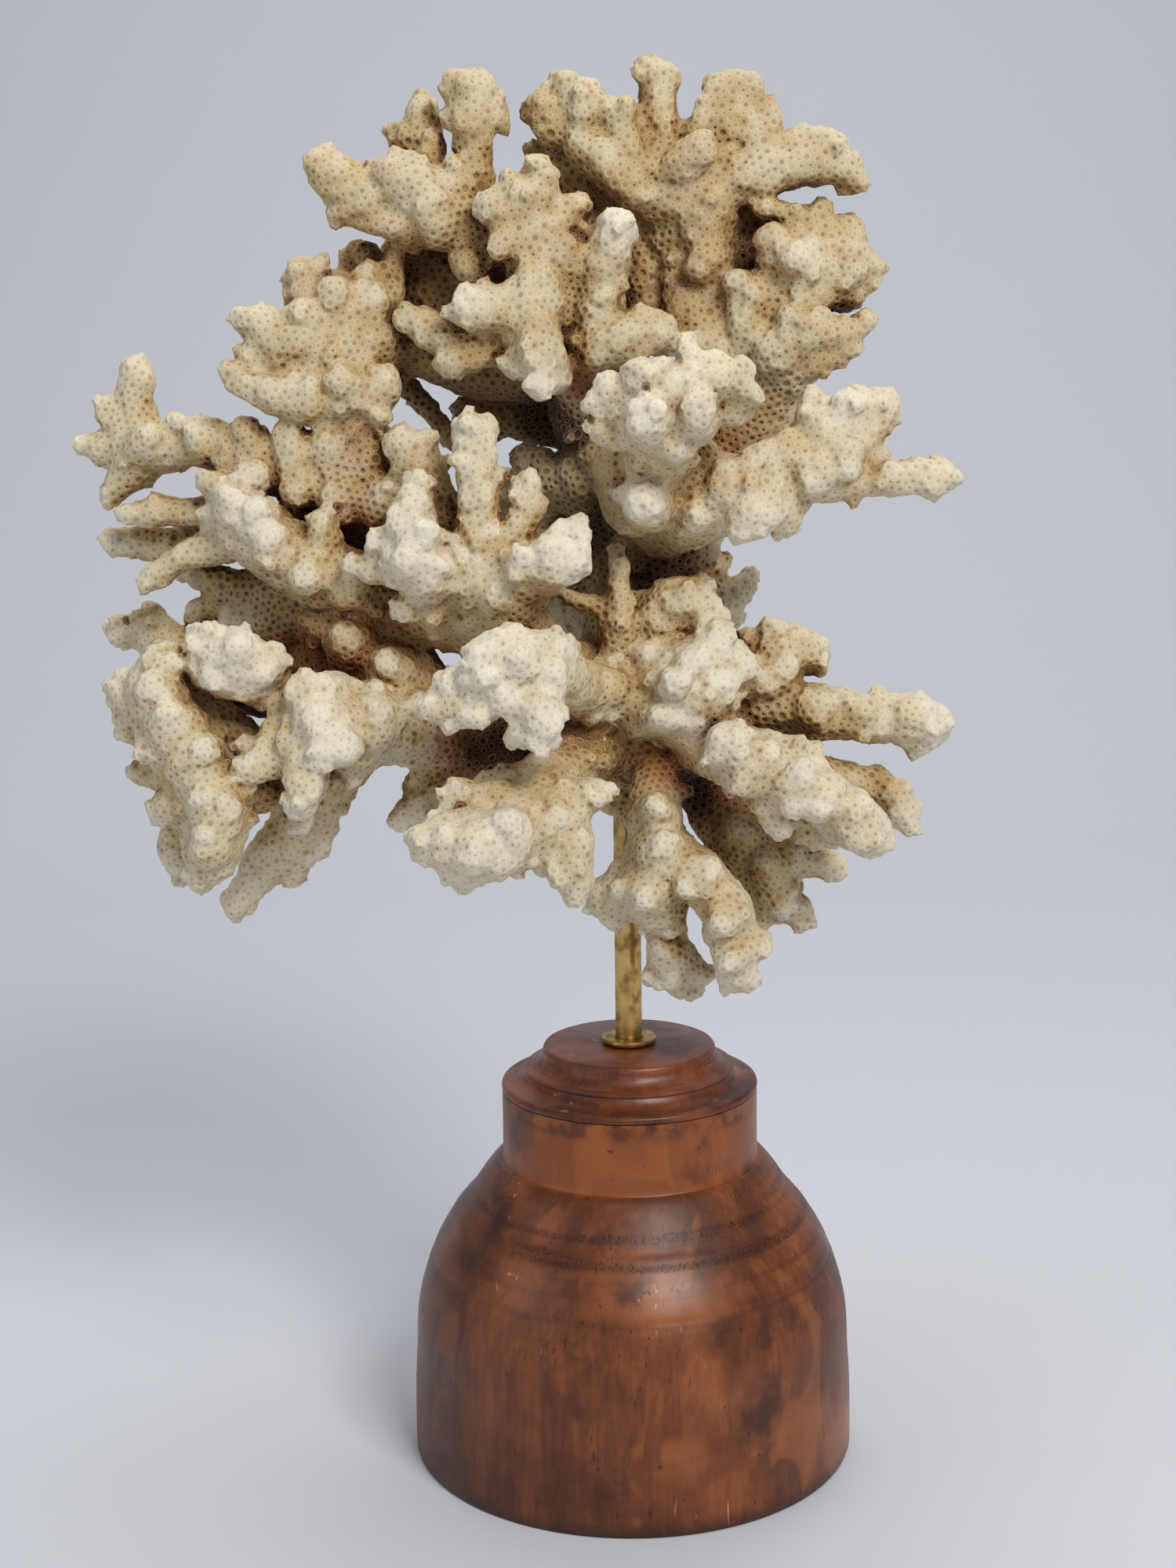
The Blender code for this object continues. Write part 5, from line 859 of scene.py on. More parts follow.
face_centres = read(skin, "polygons", "center", 3, np.float32).astype(float)
face_count = len(face_centres)
one_side, other_side, edge_of_pair = face_pairs(skin)
giving = np.concatenate([one_side, other_side])
taking = np.concatenate([other_side, one_side])


def scatter_seeds(spacing):
    """Faces in a random order, leaving out those too close to one already taken."""
    tree = kdtree.KDTree(face_count)
    for i, centre in enumerate(face_centres):
        tree.insert(centre, i)
    tree.balance()
    covered = bytearray(face_count)
    found = []
    for i in chance.permutation(face_count).tolist():
        if covered[i]:
            continue
        found.append(i)
        for _, j, _ in tree.find_range(face_centres[i], spacing):
            covered[j] = 1
    return np.array(found)


def grow_cells(seed_faces, seed_points):
    """The number of the nearest seed for every face, spread from face to face."""
    cell = np.full(face_count, -1)
    away = np.full(face_count, np.inf)
    cell[seed_faces] = np.arange(len(seed_faces))
    away[seed_faces] = 0
    for _ in range(GROW_ROUNDS):
        offered = cell[giving]
        new = (offered >= 0) & (offered != cell[taking])
        target, offered = taking[new], offered[new]
        distance = np.linalg.norm(face_centres[target] - seed_points[offered], axis=1)
        nearer = distance < away[target] - 1e-12
        if not nearer.any():
            break
        target, offered, distance = target[nearer], offered[nearer], distance[nearer]
        order = np.lexsort((-distance, target))
        target, offered, distance = target[order], offered[order], distance[order]
        best = np.append(target[1:] != target[:-1], True)
        cell[target[best]] = offered[best]
        away[target[best]] = distance[best]
    return cell


def middles(cell):
    """Each cell's middle, and the face in it that lies nearest to that."""
    count = np.bincount(cell).astype(float)
    middle = np.stack([np.bincount(cell, weights=face_centres[:, axis]) / count for axis in range(3)], 1)
    off = np.linalg.norm(face_centres - middle[cell], axis=1)
    order = np.lexsort((off, cell))
    first = np.append(True, cell[order][1:] != cell[order][:-1])
    return order[first], middle


seeds = scatter_seeds(CUP_SPACING)
cell = grow_cells(seeds, face_centres[seeds])
for _ in range(EVENING_ROUNDS):
    cell = grow_cells(*middles(cell))
print("cells:", cell.max() + 1)

# %% Borders to polygons
RELAX_ROUNDS = 3
CORNER_LIFT = 0.45 * MM
seams = np.zeros(len(skin.data.edges), bool)
seams[edge_of_pair[cell[one_side] != cell[other_side]]] = True

comb = skin.copy()
comb.data = skin.data.copy()
comb.name = "comb"
bpy.context.scene.collection.objects.link(comb)
comb.data.edges.foreach_set("use_seam", seams)
apply_modifier(comb, "DECIMATE", decimate_type="DISSOLVE", angle_limit=math.pi, delimit={"SEAM"})

comb_points = read(comb, "vertices", "co", 3, np.float32)
comb_corners = read(comb, "loops", "vertex_index", 1, np.int32)
comb_sizes = read(comb, "polygons", "loop_total", 1, np.int32)
comb_faces = np.repeat(np.arange(len(comb_sizes)), comb_sizes)
shared_by = np.bincount(comb_corners)
kept = shared_by[comb_corners] >= 3
kept |= (np.bincount(comb_faces[kept], minlength=len(comb_sizes)) < 3)[comb_faces]
used, comb_corners = np.unique(comb_corners[kept], return_inverse=True)
comb_sizes = np.bincount(comb_faces[kept])
bpy.data.objects.remove(comb)
comb = mesh_object("comb", comb_points[used], comb_corners, comb_sizes)
for _ in range(RELAX_ROUNDS):
    apply_modifier(comb, "SMOOTH", factor=0.5, iterations=3)
    apply_modifier(comb, "SHRINKWRAP", target=skin, wrap_method="NEAREST_SURFACEPOINT")
lift = CORNER_LIFT * chance.random(len(comb.data.vertices)) ** 2
lifted = read(comb, "vertices", "co", 3, np.float32) + read(comb, "vertices", "normal", 3, np.float32) * lift[:, None]
comb.data.vertices.foreach_set("co", lifted.astype(np.float32).ravel())
comb.data.update()
print("polygons:", len(comb.data.polygons), "corners:", len(comb_corners))

# %% [markdown]
# ## What the light and the years did to each cup
# The colour follows the place. Tips and outer faces are white, the sides cream to tan, and the deep hollows
# red-brown: partly the coral's own bleaching and stain, partly painted light and shade, as open cells are painted
# paler and sheltered ones darker. So each cell gets three numbers: how open it is, by rays sent out from it; how
# near it is to a branch's tip; and how stained, bleached or darkened by painted shade, from a short list of places.

# %% Cell numbers
OPEN_REACH = 22 * MM
RAYS = 40
RAY_START = 0.4
RAY_FACING = 0.2
NEAR_BEADS = 14
TIPNESS_FROM = 0.5
TIPNESS_BELOW = 5 * MM
STAIN_AND_SHADE_EDGE = 4 * MM
STAIN_AND_SHADE_REACH = 26 * MM
STAINS_AND_PAINTED_SHADE = {
    # across, down, nearest reach of a stain or of painted shade (or depth of a bleached place), radius in millimetres,
    # strength
    "rust": [
        (760, 490, 9, 6, 1.0), (480, 600, 9, 8, 0.28), (440, 640, 9, 7, 0.22), (1005, 875, 15, 5, 0.4),
        (950, 985, 29, 5, 0.6), (905, 575, 8, 7, 1.0), (835, 985, 17, 5, 0.55), (450, 845, 12, 9, 0.8),
        (660, 955, 24, 9, 0.9), (590, 955, 22, 7, 0.7), (480, 685, 9, 6, 0.9), (850, 640, 12, 6, 0.3),
        (870, 725, 2, 9, 0.7), (700, 1005, 30, 4, 0.4), (330, 725, 12, 6, 0.3), (880, 985, 14, 6, 0.9),
        (455, 545, 12, 6, 0.3), (300, 985, 19, 6, 0.5), (620, 500, 4, 7, 0.6), (960, 510, 2, 8, 0.4),
        (500, 760, 10, 8, 0.4), (380, 820, 6, 9, 0.5), (930, 1040, 6, 8, 0.5), (760, 930, 10, 6, 0.6),
    ],
    # Painted shade: dark brown put in clefts, between the crown's arms and under branches, where shade falls.
    "gloom": [
        (700, 585, 2, 7, 0.3), (695, 525, 0, 7, 1.1), (745, 540, 2, 6, 0.8), (560, 840, 4, 8, 1.2),
        (450, 850, 6, 8, 0.8), (420, 690, 3, 6, 0.4), (660, 955, 18, 8, 1.0), (590, 960, 16, 6, 0.4),
        (880, 1010, 14, 6, 1.3),
        (775, 655, 4, 6, 0.6), (850, 725, -2, 8, 0.8), (545, 370, -8, 8, 0.45), (590, 500, -2, 8, 0.5),
        (480, 690, 5, 5, 0.7), (825, 340, -12, 8, 0.2), (745, 690, 6, 6, 0.7), (800, 760, -2, 5, 0.6),
        (730, 950, 8, 5, 0.6), (520, 480, -4, 8, 0.5),
    ],
    "bleach": [
        (825, 520, 39, 5, 0.6), (885, 470, 35, 5, 0.5), (775, 500, 32, 4, 0.4), (690, 900, 40, 8, 0.5),
        (620, 870, 38, 8, 0.4), (530, 700, 25, 8, 0.7),
        (890, 870, 20, 8, 0.5), (620, 1080, 43, 9, 0.5), (420, 935, 28, 6, 0.5), (300, 845, 20, 8, 0.7),
        (1080, 540, 19, 8, 0.5), (960, 660, 22, 6, 0.6), (720, 710, 28, 6, 0.6), (605, 600, 22, 6, 0.3),
        (690, 485, 17, 5, 0.5), (605, 390, 15, 4, 0.5), (788, 285, 12, 4, 0.8), (1175, 925, 14, 5, 0.3),
        (400, 360, 3, 5, 0.3), (815, 640, 26, 4, 0.7), (1030, 320, 2, 4, 0.4), (675, 625, 22, 3, 0.2),
        (310, 650, 16, 9, 0.5), (940, 1240, 24, 4, 0.3), (1040, 1010, 28, 8, 0.3),
    ],
}

cell_corners = read(comb, "loops", "vertex_index", 1, np.int32)
cell_sizes = read(comb, "polygons", "loop_total", 1, np.int32)
cell_points = read(comb, "vertices", "co", 3, np.float32).astype(float)
cell_count = len(cell_sizes)
corner_cell = np.repeat(np.arange(cell_count), cell_sizes)
cell_starts = np.concatenate([[0], np.cumsum(cell_sizes)[:-1]])
next_corner = np.arange(len(cell_corners)) + 1
next_corner[cell_starts + cell_sizes - 1] = cell_starts


def per_cell(values):
    """The sum of corner values over each cell."""
    return np.stack([np.bincount(corner_cell, weights=values[:, axis], minlength=cell_count) for axis in range(3)], 1)


corner_points = cell_points[cell_corners]
cell_middles = per_cell(corner_points) / cell_sizes[:, None]
arms = corner_points - cell_middles[corner_cell]
cell_normals = per_cell(np.cross(arms, arms[next_corner]))
cell_normals /= np.linalg.norm(cell_normals, axis=1)[:, None]
border = corner_points[next_corner] - corner_points
border_off = np.linalg.norm(np.cross(border, arms), axis=1) / np.linalg.norm(border, axis=1).clip(1e-9)
cell_reach = np.full(cell_count, np.inf)
np.minimum.at(cell_reach, corner_cell, border_off)

turns = np.arange(RAYS) * math.pi * (3 - math.sqrt(5))
heights = 1 - (2 * np.arange(RAYS) + 1) / RAYS
flat = np.sqrt(1 - heights ** 2)
ray_ways = np.stack([flat * np.cos(turns), flat * np.sin(turns), heights], 1)
facing = cell_normals @ ray_ways.T
faces_of_comb = [cell_corners[start:start + size].tolist() for start, size in zip(cell_starts, cell_sizes)]
wall = bvhtree.BVHTree.FromPolygons(cell_points.tolist(), faces_of_comb)
openness = np.zeros(cell_count)
for i in range(cell_count):
    start = Vector(cell_middles[i] + cell_normals[i] * RAY_START * MM)
    total = weight = 0.0
    for j in np.nonzero(facing[i] > RAY_FACING)[0]:
        _, _, _, distance = wall.ray_cast(start, Vector(ray_ways[j]), OPEN_REACH)
        total += facing[i, j] * (1.0 if distance is None else distance / OPEN_REACH)
        weight += facing[i, j]
    openness[i] = total / weight

cell_bead = np.zeros(cell_count, int)
for i in range(cell_count):
    near = bead_tree.find_n(cell_middles[i], NEAR_BEADS)
    cell_bead[i] = min(near, key=lambda found: found[2] - bead_radii[found[1]])[1]
cell_branch = bead_branches[cell_bead]
tipness = (bead_shares[cell_bead] - TIPNESS_FROM).clip(0) * 2 * (bead_radii[cell_bead] < TIPNESS_BELOW)

rust = np.zeros(cell_count)
gloom = np.zeros(cell_count)
bleach = np.zeros(cell_count)
masks = {"rust": rust, "gloom": gloom, "bleach": bleach}
for kind, places in STAINS_AND_PAINTED_SHADE.items():
    for across, down, near, radius, strength in places:
        place = np.array(seen(across, down, near))
        if kind == "bleach":
            masks[kind] += strength * np.exp(-(np.linalg.norm(cell_middles - place, axis=1) / (radius * MM)) ** 2)
            continue
        line = (place - EYE) / np.linalg.norm(place - EYE)
        deeper = (cell_middles - place) @ line
        beside = np.linalg.norm(cell_middles - place - deeper[:, None] * line, axis=1) / (radius * MM)
        reached = (1 + deeper / STAIN_AND_SHADE_EDGE).clip(0, 1) * (1 - (deeper - STAIN_AND_SHADE_REACH) / STAIN_AND_SHADE_EDGE).clip(0, 1)
        masks[kind] += strength * reached * np.exp(-beside ** 2)
print("openness %.2f to %.2f, mean %.2f" % (openness.min(), openness.max(), openness.mean()))

# %% [markdown]
# ## From cells to cups
# Inset and extrude in edit mode would cut one cup at a time in the same way everywhere. Here each cell has its
# own rim, width and depth, so the rings are worked out for all cells at once: the cell's border, a rim a little
# inside it, the cup's wall, and its floor. The tan cells on the sides keep walled cups with a floor. The tips are
# worn, and nobody looks into the hollows, so a plain funnel from the rim does there, which saves triangles. High
# on the crown the cells are made less white and a little darker. The cells of one branch then become one piece,
# closed where it joins the others.

# %% Cups
CROWN_FROM = 0.17
CROWN_RISE = 0.06
CROWN_SHADE = 0.09
BLEACH_AND_PAINTED_LIGHT_BY_OPENNESS = 0.9
BLEACH_AND_PAINTED_LIGHT_FROM = 0.74
WORN_BY_TIP = 0.4
WORN_ALOFT = 0.5
WORN_BY_RUST = 0.5
RIM_SHARE = (0.78, 0.09)
RIM_SHARE_LIMITS = (0.4, 0.9)
RIM_HEIGHT = 0.09 * MM
RIM_LIFT = (0.4, 0.7)
RIM_WORN = 0.16
WALL_SHARE = 0.72
CUP_DEPTH = (0.28 * MM, 0.40 * MM)
DEPTH_WORN = 0.35
FILLED_SHARE = (0.05, 0.12)
FILLED_DEPTH = 0.3
WALLED_SHARE = 0.40
HIDDEN_BELOW = 0.3
RIM_IN_CUP = 0.4
STUMP_INWARD = 0.3

aloft = ((cell_middles[:, 2] - CROWN_FROM) / CROWN_RISE).clip(0, 1)
# Open cells are painted paler and sheltered ones darker: partly the coral's own bleaching, partly painted light and
# shade.
paleness_by_wear_and_light = (BLEACH_AND_PAINTED_LIGHT_BY_OPENNESS * (openness - BLEACH_AND_PAINTED_LIGHT_FROM) + WORN_BY_TIP * tipness) * (1 - WORN_ALOFT * aloft)
# The listed places of painted shade also keep cells from turning white.
paleness_by_wear_and_light = paleness_by_wear_and_light + bleach - WORN_BY_RUST * rust - gloom
whiteness = paleness_by_wear_and_light.clip(0, 1)
rim_share = RIM_SHARE[0] + RIM_SHARE[1] * chance.standard_normal(cell_count) - RIM_WORN * whiteness
rim_share = rim_share.clip(*RIM_SHARE_LIMITS)
cup_depth = CUP_DEPTH[0] + (CUP_DEPTH[1] - CUP_DEPTH[0]) * chance.random(cell_count)
cup_depth *= 1 - DEPTH_WORN * whiteness
filled = chance.random(cell_count) < FILLED_SHARE[0] + FILLED_SHARE[1] * whiteness
cup_depth[filled] *= FILLED_DEPTH
rim_lift = RIM_HEIGHT * (RIM_LIFT[0] + RIM_LIFT[1] * chance.random(cell_count))
walled = (openness > HIDDEN_BELOW) & (paleness_by_wear_and_light < np.quantile(paleness_by_wear_and_light, WALLED_SHARE))
cell_shade = chance.random(cell_count)
print("walled cups:", walled.sum(), "soft cups:", (~walled).sum())

ring_ways = arms - (arms * cell_normals[corner_cell]).sum(1)[:, None] * cell_normals[corner_cell]
ring_ways /= np.linalg.norm(ring_ways, axis=1)[:, None]
ups = cell_normals[corner_cell]
rim_radius = (cell_reach * rim_share)[corner_cell][:, None]
middle = cell_middles[corner_cell]
rim_points = middle + ring_ways * rim_radius + ups * rim_lift[corner_cell][:, None]
wall_points = middle + ring_ways * rim_radius * WALL_SHARE - ups * cup_depth[corner_cell][:, None]
floor_points = cell_middles - cell_normals * cup_depth[:, None]


def stump(points, corners, sizes):
    """Rings and fans that close a branch where it leaves the others, inside the coral and out of sight."""
    following = np.arange(len(corners)) + 1
    ends = np.cumsum(sizes)
    following[ends - 1] = ends - sizes
    ahead = {}
    steps = Counter(zip(corners.tolist(), corners[following].tolist()))
    for (start, end), count in steps.items():
        for _ in range(count - steps.get((end, start), 0)):
            ahead.setdefault(start, []).append(end)
    new_points, new_faces, rims = [], [], []
    while ahead:
        start = next(iter(ahead))
        ring = [start]
        while True:
            options = ahead[ring[-1]]
            step = options.pop()
            if not options:
                del ahead[ring[-1]]
            if step == start:
                break
            ring.append(step)
            base = len(points) + len(new_points)
        rims += zip(ring, ring[1:] + ring[:1])
        hub = points[ring].mean(0)
        inner = points[ring] + (hub - points[ring]) * STUMP_INWARD
        new_points += list(inner) + [hub]
        for i in range(len(ring)):
            j = (i + 1) % len(ring)
            new_faces.append((ring[j], ring[i], base + i, base + j))
            new_faces.append((base + j, base + i, base + len(ring)))
    return new_points, new_faces, rims


def branch_piece(name, branch):
    """The cups of one branch as one closed mesh, with the numbers that its colours follow."""
    mine = np.nonzero(cell_branch == branch)[0]
    number = np.full(cell_count, -1)
    number[mine] = np.arange(len(mine))
    at = np.nonzero(number[corner_cell] >= 0)[0]
    place = np.full(len(cell_corners), -1)
    place[at] = np.arange(len(at))
    used, border_at = np.unique(cell_corners[at], return_inverse=True)
    following = place[next_corner[at]]
    rim_at = len(used) + np.arange(len(at))
    wall_at = rim_at + len(at)
    hub_at = len(used) + 2 * len(at) + number[corner_cell[at]]
    hollow = walled[corner_cell[at]]
    points = np.concatenate([cell_points[used], rim_points[at], wall_points[at], floor_points[mine]])
    outer = np.stack([border_at, border_at[following], rim_at[following], rim_at], 1)
    inner = np.stack([rim_at, rim_at[following], wall_at[following], wall_at], 1)[hollow]
    funnel = np.stack([rim_at, rim_at[following], hub_at], 1)[~hollow]
    corners = np.concatenate([outer.ravel(), inner.ravel(), funnel.ravel(), wall_at[hollow]])
    sizes = np.concatenate([np.full(len(outer) + len(inner), 4), np.full(len(funnel), 3),
                            cell_sizes[mine][walled[mine]]])
    caps, cap_faces, cap_rims = stump(points, border_at, cell_sizes[mine])
    if caps:
        points = np.concatenate([points, np.array(caps)])
        corners = np.concatenate([corners, np.array([corner for face in cap_faces for corner in face])])
        sizes = np.concatenate([sizes, np.array([len(face) for face in cap_faces])])
    needed = np.unique(corners)
    renumber = np.full(len(points), -1)
    renumber[needed] = np.arange(len(needed))
    piece = mesh_object(name + "_cups", points[needed], renumber[corners], sizes)
    if cap_rims:
        ends = np.sort(renumber[np.array(cap_rims)], 1)
        edges = np.sort(read(piece, "edges", "vertices", 2, np.int32), 1)
        at_rim = np.isin(edges[:, 0].astype(np.int64) * len(needed) + edges[:, 1],
                         ends[:, 0].astype(np.int64) * len(needed) + ends[:, 1])
        piece.data.edges.foreach_set("use_edge_sharp", at_rim)

    def spread(values):
        """A cell's number on its border, rim, wall, floor and stump points."""
        ring = values[corner_cell[at]]
        total = np.bincount(border_at, weights=ring, minlength=len(used))
        shared = np.bincount(border_at, minlength=len(used))
        inside = np.full(len(caps), values[mine].mean())
        return np.concatenate([total / shared, ring, ring, values[mine], inside])[needed]

    depth = np.concatenate([np.zeros(len(used)), np.full(len(at), RIM_IN_CUP), np.ones(len(at) + len(mine)),
                            np.zeros(len(caps))])
    # The open number paints light onto open cells and shade into sheltered ones, on top of the coral's own tone; cells
    # high on the crown get a lower one.
    columns = {"cup": depth[needed], "open": spread(openness - CROWN_SHADE * aloft), "white": spread(whiteness),
               "rust": spread(rust), "gloom": spread(gloom), "shade": spread(cell_shade)}
    for key, values in columns.items():
        piece.data.attributes.new(key, "FLOAT", "POINT").data.foreach_set("value", values.astype(np.float32))
    piece.data.shade_smooth()
    return piece


coral_pieces = {}
for branch, name in enumerate(CORAL):
    coral_pieces[name] = branch_piece(name, branch)
    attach(coral_pieces[name], "root")
    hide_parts(name)
bpy.data.objects.remove(skin)
bpy.data.objects.remove(comb)
triangles = {name: sum(len(face.vertices) - 2 for face in piece.data.polygons)
             for name, piece in coral_pieces.items()}
print("coral triangles:", sum(triangles.values()), "most in one piece:", max(triangles.values()))

# %% [markdown]
# ## Materials
# Every finish is built from nodes. A few small helpers keep the node code short: one adds a node and sets its
# values, one mixes two colours, and one stretches a mask between two limits.

# %% Node helpers
def new_material(name, **values):
    """A material with its Principled shader, whose even values are set on its own sockets."""
    made = bpy.data.materials.new(name)
    made.use_nodes = True
    shader = made.node_tree.nodes["Principled BSDF"]
    for socket, value in values.items():
        shader.inputs[socket.replace("_", " ").title().replace("Ior", "IOR")].default_value = value
    return made, made.node_tree, shader


def add(tree, kind, inputs=None, **settings):
    """A new node: its settings, then its inputs, each a value or an output to link."""
    node = tree.nodes.new("ShaderNode" + kind)
    for key, value in settings.items():
        setattr(node, key, value)
    for key, value in (inputs or {}).items():
        if isinstance(value, bpy.types.NodeSocket):
            tree.links.new(value, node.inputs[key])
        else:
            node.inputs[key].default_value = value
    return node


def colour(red, green, blue):
    """A colour from eight-bit screen values."""
    return tuple(((v / 255 + 0.055) / 1.055) ** 2.4 if v > 10 else v / 255 / 12.92 for v in (red, green, blue)) + (1.0,)


def blend(tree, share, first, second, kind="MIX"):
    """Two colours mixed."""
    node = tree.nodes.new("ShaderNodeMix")
    node.data_type = "RGBA"
    node.blend_type = kind
    for socket, value in ((node.inputs[0], share), (node.inputs[6], first), (node.inputs[7], second)):
        if isinstance(value, bpy.types.NodeSocket):
            tree.links.new(value, socket)
        else:
            socket.default_value = value
    return node.outputs[2]


def stretch(tree, value, low, high, to_low=0.0, to_high=1.0):
    """A mask that goes smoothly from one value to the other between two limits."""
    node = add(tree, "MapRange", {"Value": value, "From Min": low, "From Max": high, "To Min": to_low,
                                  "To Max": to_high}, interpolation_type="SMOOTHSTEP")
    return node.outputs["Result"]


def sums(tree, kind, first, second):
    """Two numbers put together."""
    return add(tree, "Math", {0: first, 1: second}, operation=kind).outputs[0]


def times(tree, first, second):
    """Two masks multiplied."""
    return sums(tree, "MULTIPLY", first, second)


def noise(tree, where, per_metre, detail=3.0, roughness=0.55):
    """Noise with so many lumps to the metre."""
    return add(tree, "TexNoise", {"Vector": where, "Scale": per_metre, "Detail": detail,
                                  "Roughness": roughness}).outputs["Fac"]


def number(tree, name):
    """One of the numbers kept on a mesh's points."""
    return add(tree, "Attribute", attribute_name=name).outputs["Fac"]


def stretched(tree, where, sideways, along):
    """The place, with its steps across and along the turning axis drawn out or squeezed."""
    return add(tree, "Mapping", {"Vector": where, "Scale": (sideways, sideways, along)}).outputs["Vector"]


def relief_on(tree, shader, height, strength, depth):
    """Fine relief by a bump, for what is too small to model."""
    bump = add(tree, "Bump", {"Height": height, "Strength": strength, "Distance": depth})
    tree.links.new(bump.outputs["Normal"], shader.inputs["Normal"])


# %% [markdown]
# ### Bleached coral
# Chalky and matte. Cream turns to white on open tips and to tan where it is sheltered, then to red-brown in
# the hollows: partly the coral's own bleaching and stain, partly painted light and shade that follow how open
# each cell is, with painted shade added at listed clefts. The cups are painted darker than the walls between
# them, most of all in the tan parts, as painted shade in the pits, and their rims get a faint painted highlight.

# %% Coral
def coral_material():
    made, tree, shader = new_material("bleached coral", roughness=0.88, specular_ior_level=0.25)
    where = add(tree, "TexCoord").outputs["Object"]
    openness, white, cup, shade = (number(tree, name) for name in ("open", "white", "cup", "shade"))
    patches = noise(tree, where, 90.0, 3.0)
    # Tan to red-brown where a cell is less open: partly the coral's own stain, partly painted shade.
    shade_and_stain = sums(tree, "ADD", openness, stretch(tree, patches, 0.3, 0.7, -0.12, 0.12))
    tint = blend(tree, stretch(tree, shade_and_stain, 0.30, 0.62), colour(108, 68, 32), colour(172, 136, 82))
    tint = blend(tree, stretch(tree, shade_and_stain, 0.55, 0.80), tint, colour(197, 173, 124))
    tint = blend(tree, stretch(tree, shade_and_stain, 0.76, 1.0), tint, colour(215, 202, 169))
    # White on the tips and open faces: the coral's own bleaching, plus painted light where a cell is open.
    tint = blend(tree, stretch(tree, white, 0.10, 0.95), tint, colour(234, 227, 206))
    rusty = times(tree, number(tree, "rust"), stretch(tree, patches, 0.25, 0.6, 0.6, 1.1))
    tint = blend(tree, stretch(tree, rusty, 0.05, 0.9, 0.0, 0.85), tint, colour(150, 84, 30))
    # Painted shade, dark brown, at the listed clefts and under branches.
    tint = blend(tree, stretch(tree, number(tree, "gloom"), 0.05, 1.0, 0.0, 0.95), tint, colour(62, 32, 20))
    specks = noise(tree, where, 2600.0, 2.0)
    tint = blend(tree, stretch(tree, specks, 0.3, 0.75, 0.0, 0.22), tint, colour(160, 130, 92), "MULTIPLY")
    tint = blend(tree, times(tree, shade, 0.14), tint, colour(160, 120, 80), "MULTIPLY")
    # A faint painted highlight on the cups' rims.
    ring = times(tree, stretch(tree, cup, 0.15, 0.38), stretch(tree, cup, 0.72, 0.42))
    tint = blend(tree, times(tree, ring, 0.16), tint, colour(240, 230, 208))
    # Painted shade in the cups' pits, weaker on white cells and varied from cup to cup, on top of the real shadow of
    # their depth.
    inside = times(tree, stretch(tree, cup, 0.36, 0.75), stretch(tree, white, 0.0, 0.9, 0.42, 0.20))
    inside = times(tree, inside, stretch(tree, shade, 0.0, 1.0, 0.5, 1.3))
    tint = blend(tree, inside, tint, blend(tree, 1.0, tint, colour(176, 146, 106), "MULTIPLY"))
    tree.links.new(tint, shader.inputs["Base Color"])
    grit = sums(tree, "ADD", noise(tree, where, 5200.0, 3.0), times(tree, specks, 0.6))
    relief_on(tree, shader, grit, 0.35, 0.06 * MM)
    return made


coral_finish = coral_material()
for piece in coral_pieces.values():
    piece.data.materials.append(coral_finish)
print("coral nodes:", len(coral_finish.node_tree.nodes))

# %% [markdown]
# ## The turned base
# The bell and the cap came off a lathe, so a profile says all there is to their shape. A Screw modifier could
# spin the profile, but a circle that is extruded upwards and resized ring by ring shows each step. The bell's
# shoulder has the faint rings that the lathe tool left, and the cap steps in by a bead, a cove, a lip and a neck.

# %% Turning
TURNED_SIDES = 144
RIPPLE = 0.006 * MM
GROOVES = [(54.2, 0.04, 0.5), (51.6, 0.05, 0.4), (49.1, 0.07, 0.5), (47.4, 0.09, 0.6), (44.8, 0.05, 0.5),
           (38.8, 0.09, 0.5), (37.7, 0.04, 0.4), (30.5, 0.03, 0.6)]
HOLE_RADIUS = 2.62 * MM
NECK_TOP = 70.5 * MM
CAP_FLOOR = 70.8 * MM
CAP_TOP = 78.9 * MM
HOLE_FLOOR = 58.6 * MM


def turn_up(name, profile, sides, ring=False):
    """A turned piece: a circle extruded up and resized through each (radius, height) of the profile."""
    deselect_all()
    radius, height = profile[0]
    bpy.ops.mesh.primitive_circle_add(vertices=sides, radius=radius, fill_type="NOTHING" if ring else "NGON")
    made = bpy.context.object
    made.name = name
    bpy.ops.object.mode_set(mode="EDIT")
    bpy.ops.mesh.select_all(action="SELECT")
    bpy.ops.transform.translate(value=(0, 0, height))
    for next_radius, next_height in profile[1:]:
        rise = (0, 0, next_height - height)
        bpy.ops.mesh.extrude_region_move(TRANSFORM_OT_translate={"value": rise})
        grow = next_radius / radius
        bpy.ops.transform.resize(value=(grow, grow, 1), center_override=(0, 0, next_height))
        radius, height = next_radius, next_height
    bpy.ops.mesh.select_all(action="SELECT")
    if ring:
        bpy.ops.mesh.remove_doubles(threshold=0.01 * MM)
    bpy.ops.mesh.normals_make_consistent(inside=False)
    bpy.ops.object.mode_set(mode="OBJECT")
    bpy.ops.object.shade_smooth_by_angle(angle=math.radians(38))
    return made


def smooth_profile(stops, every):
    """Points along a smooth curve through (radius, height) stops in millimetres."""
    points = [tuple(v * MM for v in stops[0])]
    for i in range(len(stops) - 1):
        four = [np.array(stops[j]) * MM for j in (max(i - 1, 0), i, i + 1, min(i + 2, len(stops) - 1))]
        count = max(1, round(np.linalg.norm(four[2] - four[1]) / every))
        points += [tuple(between(*four, step / count)) for step in range(1, count + 1)]
    return points


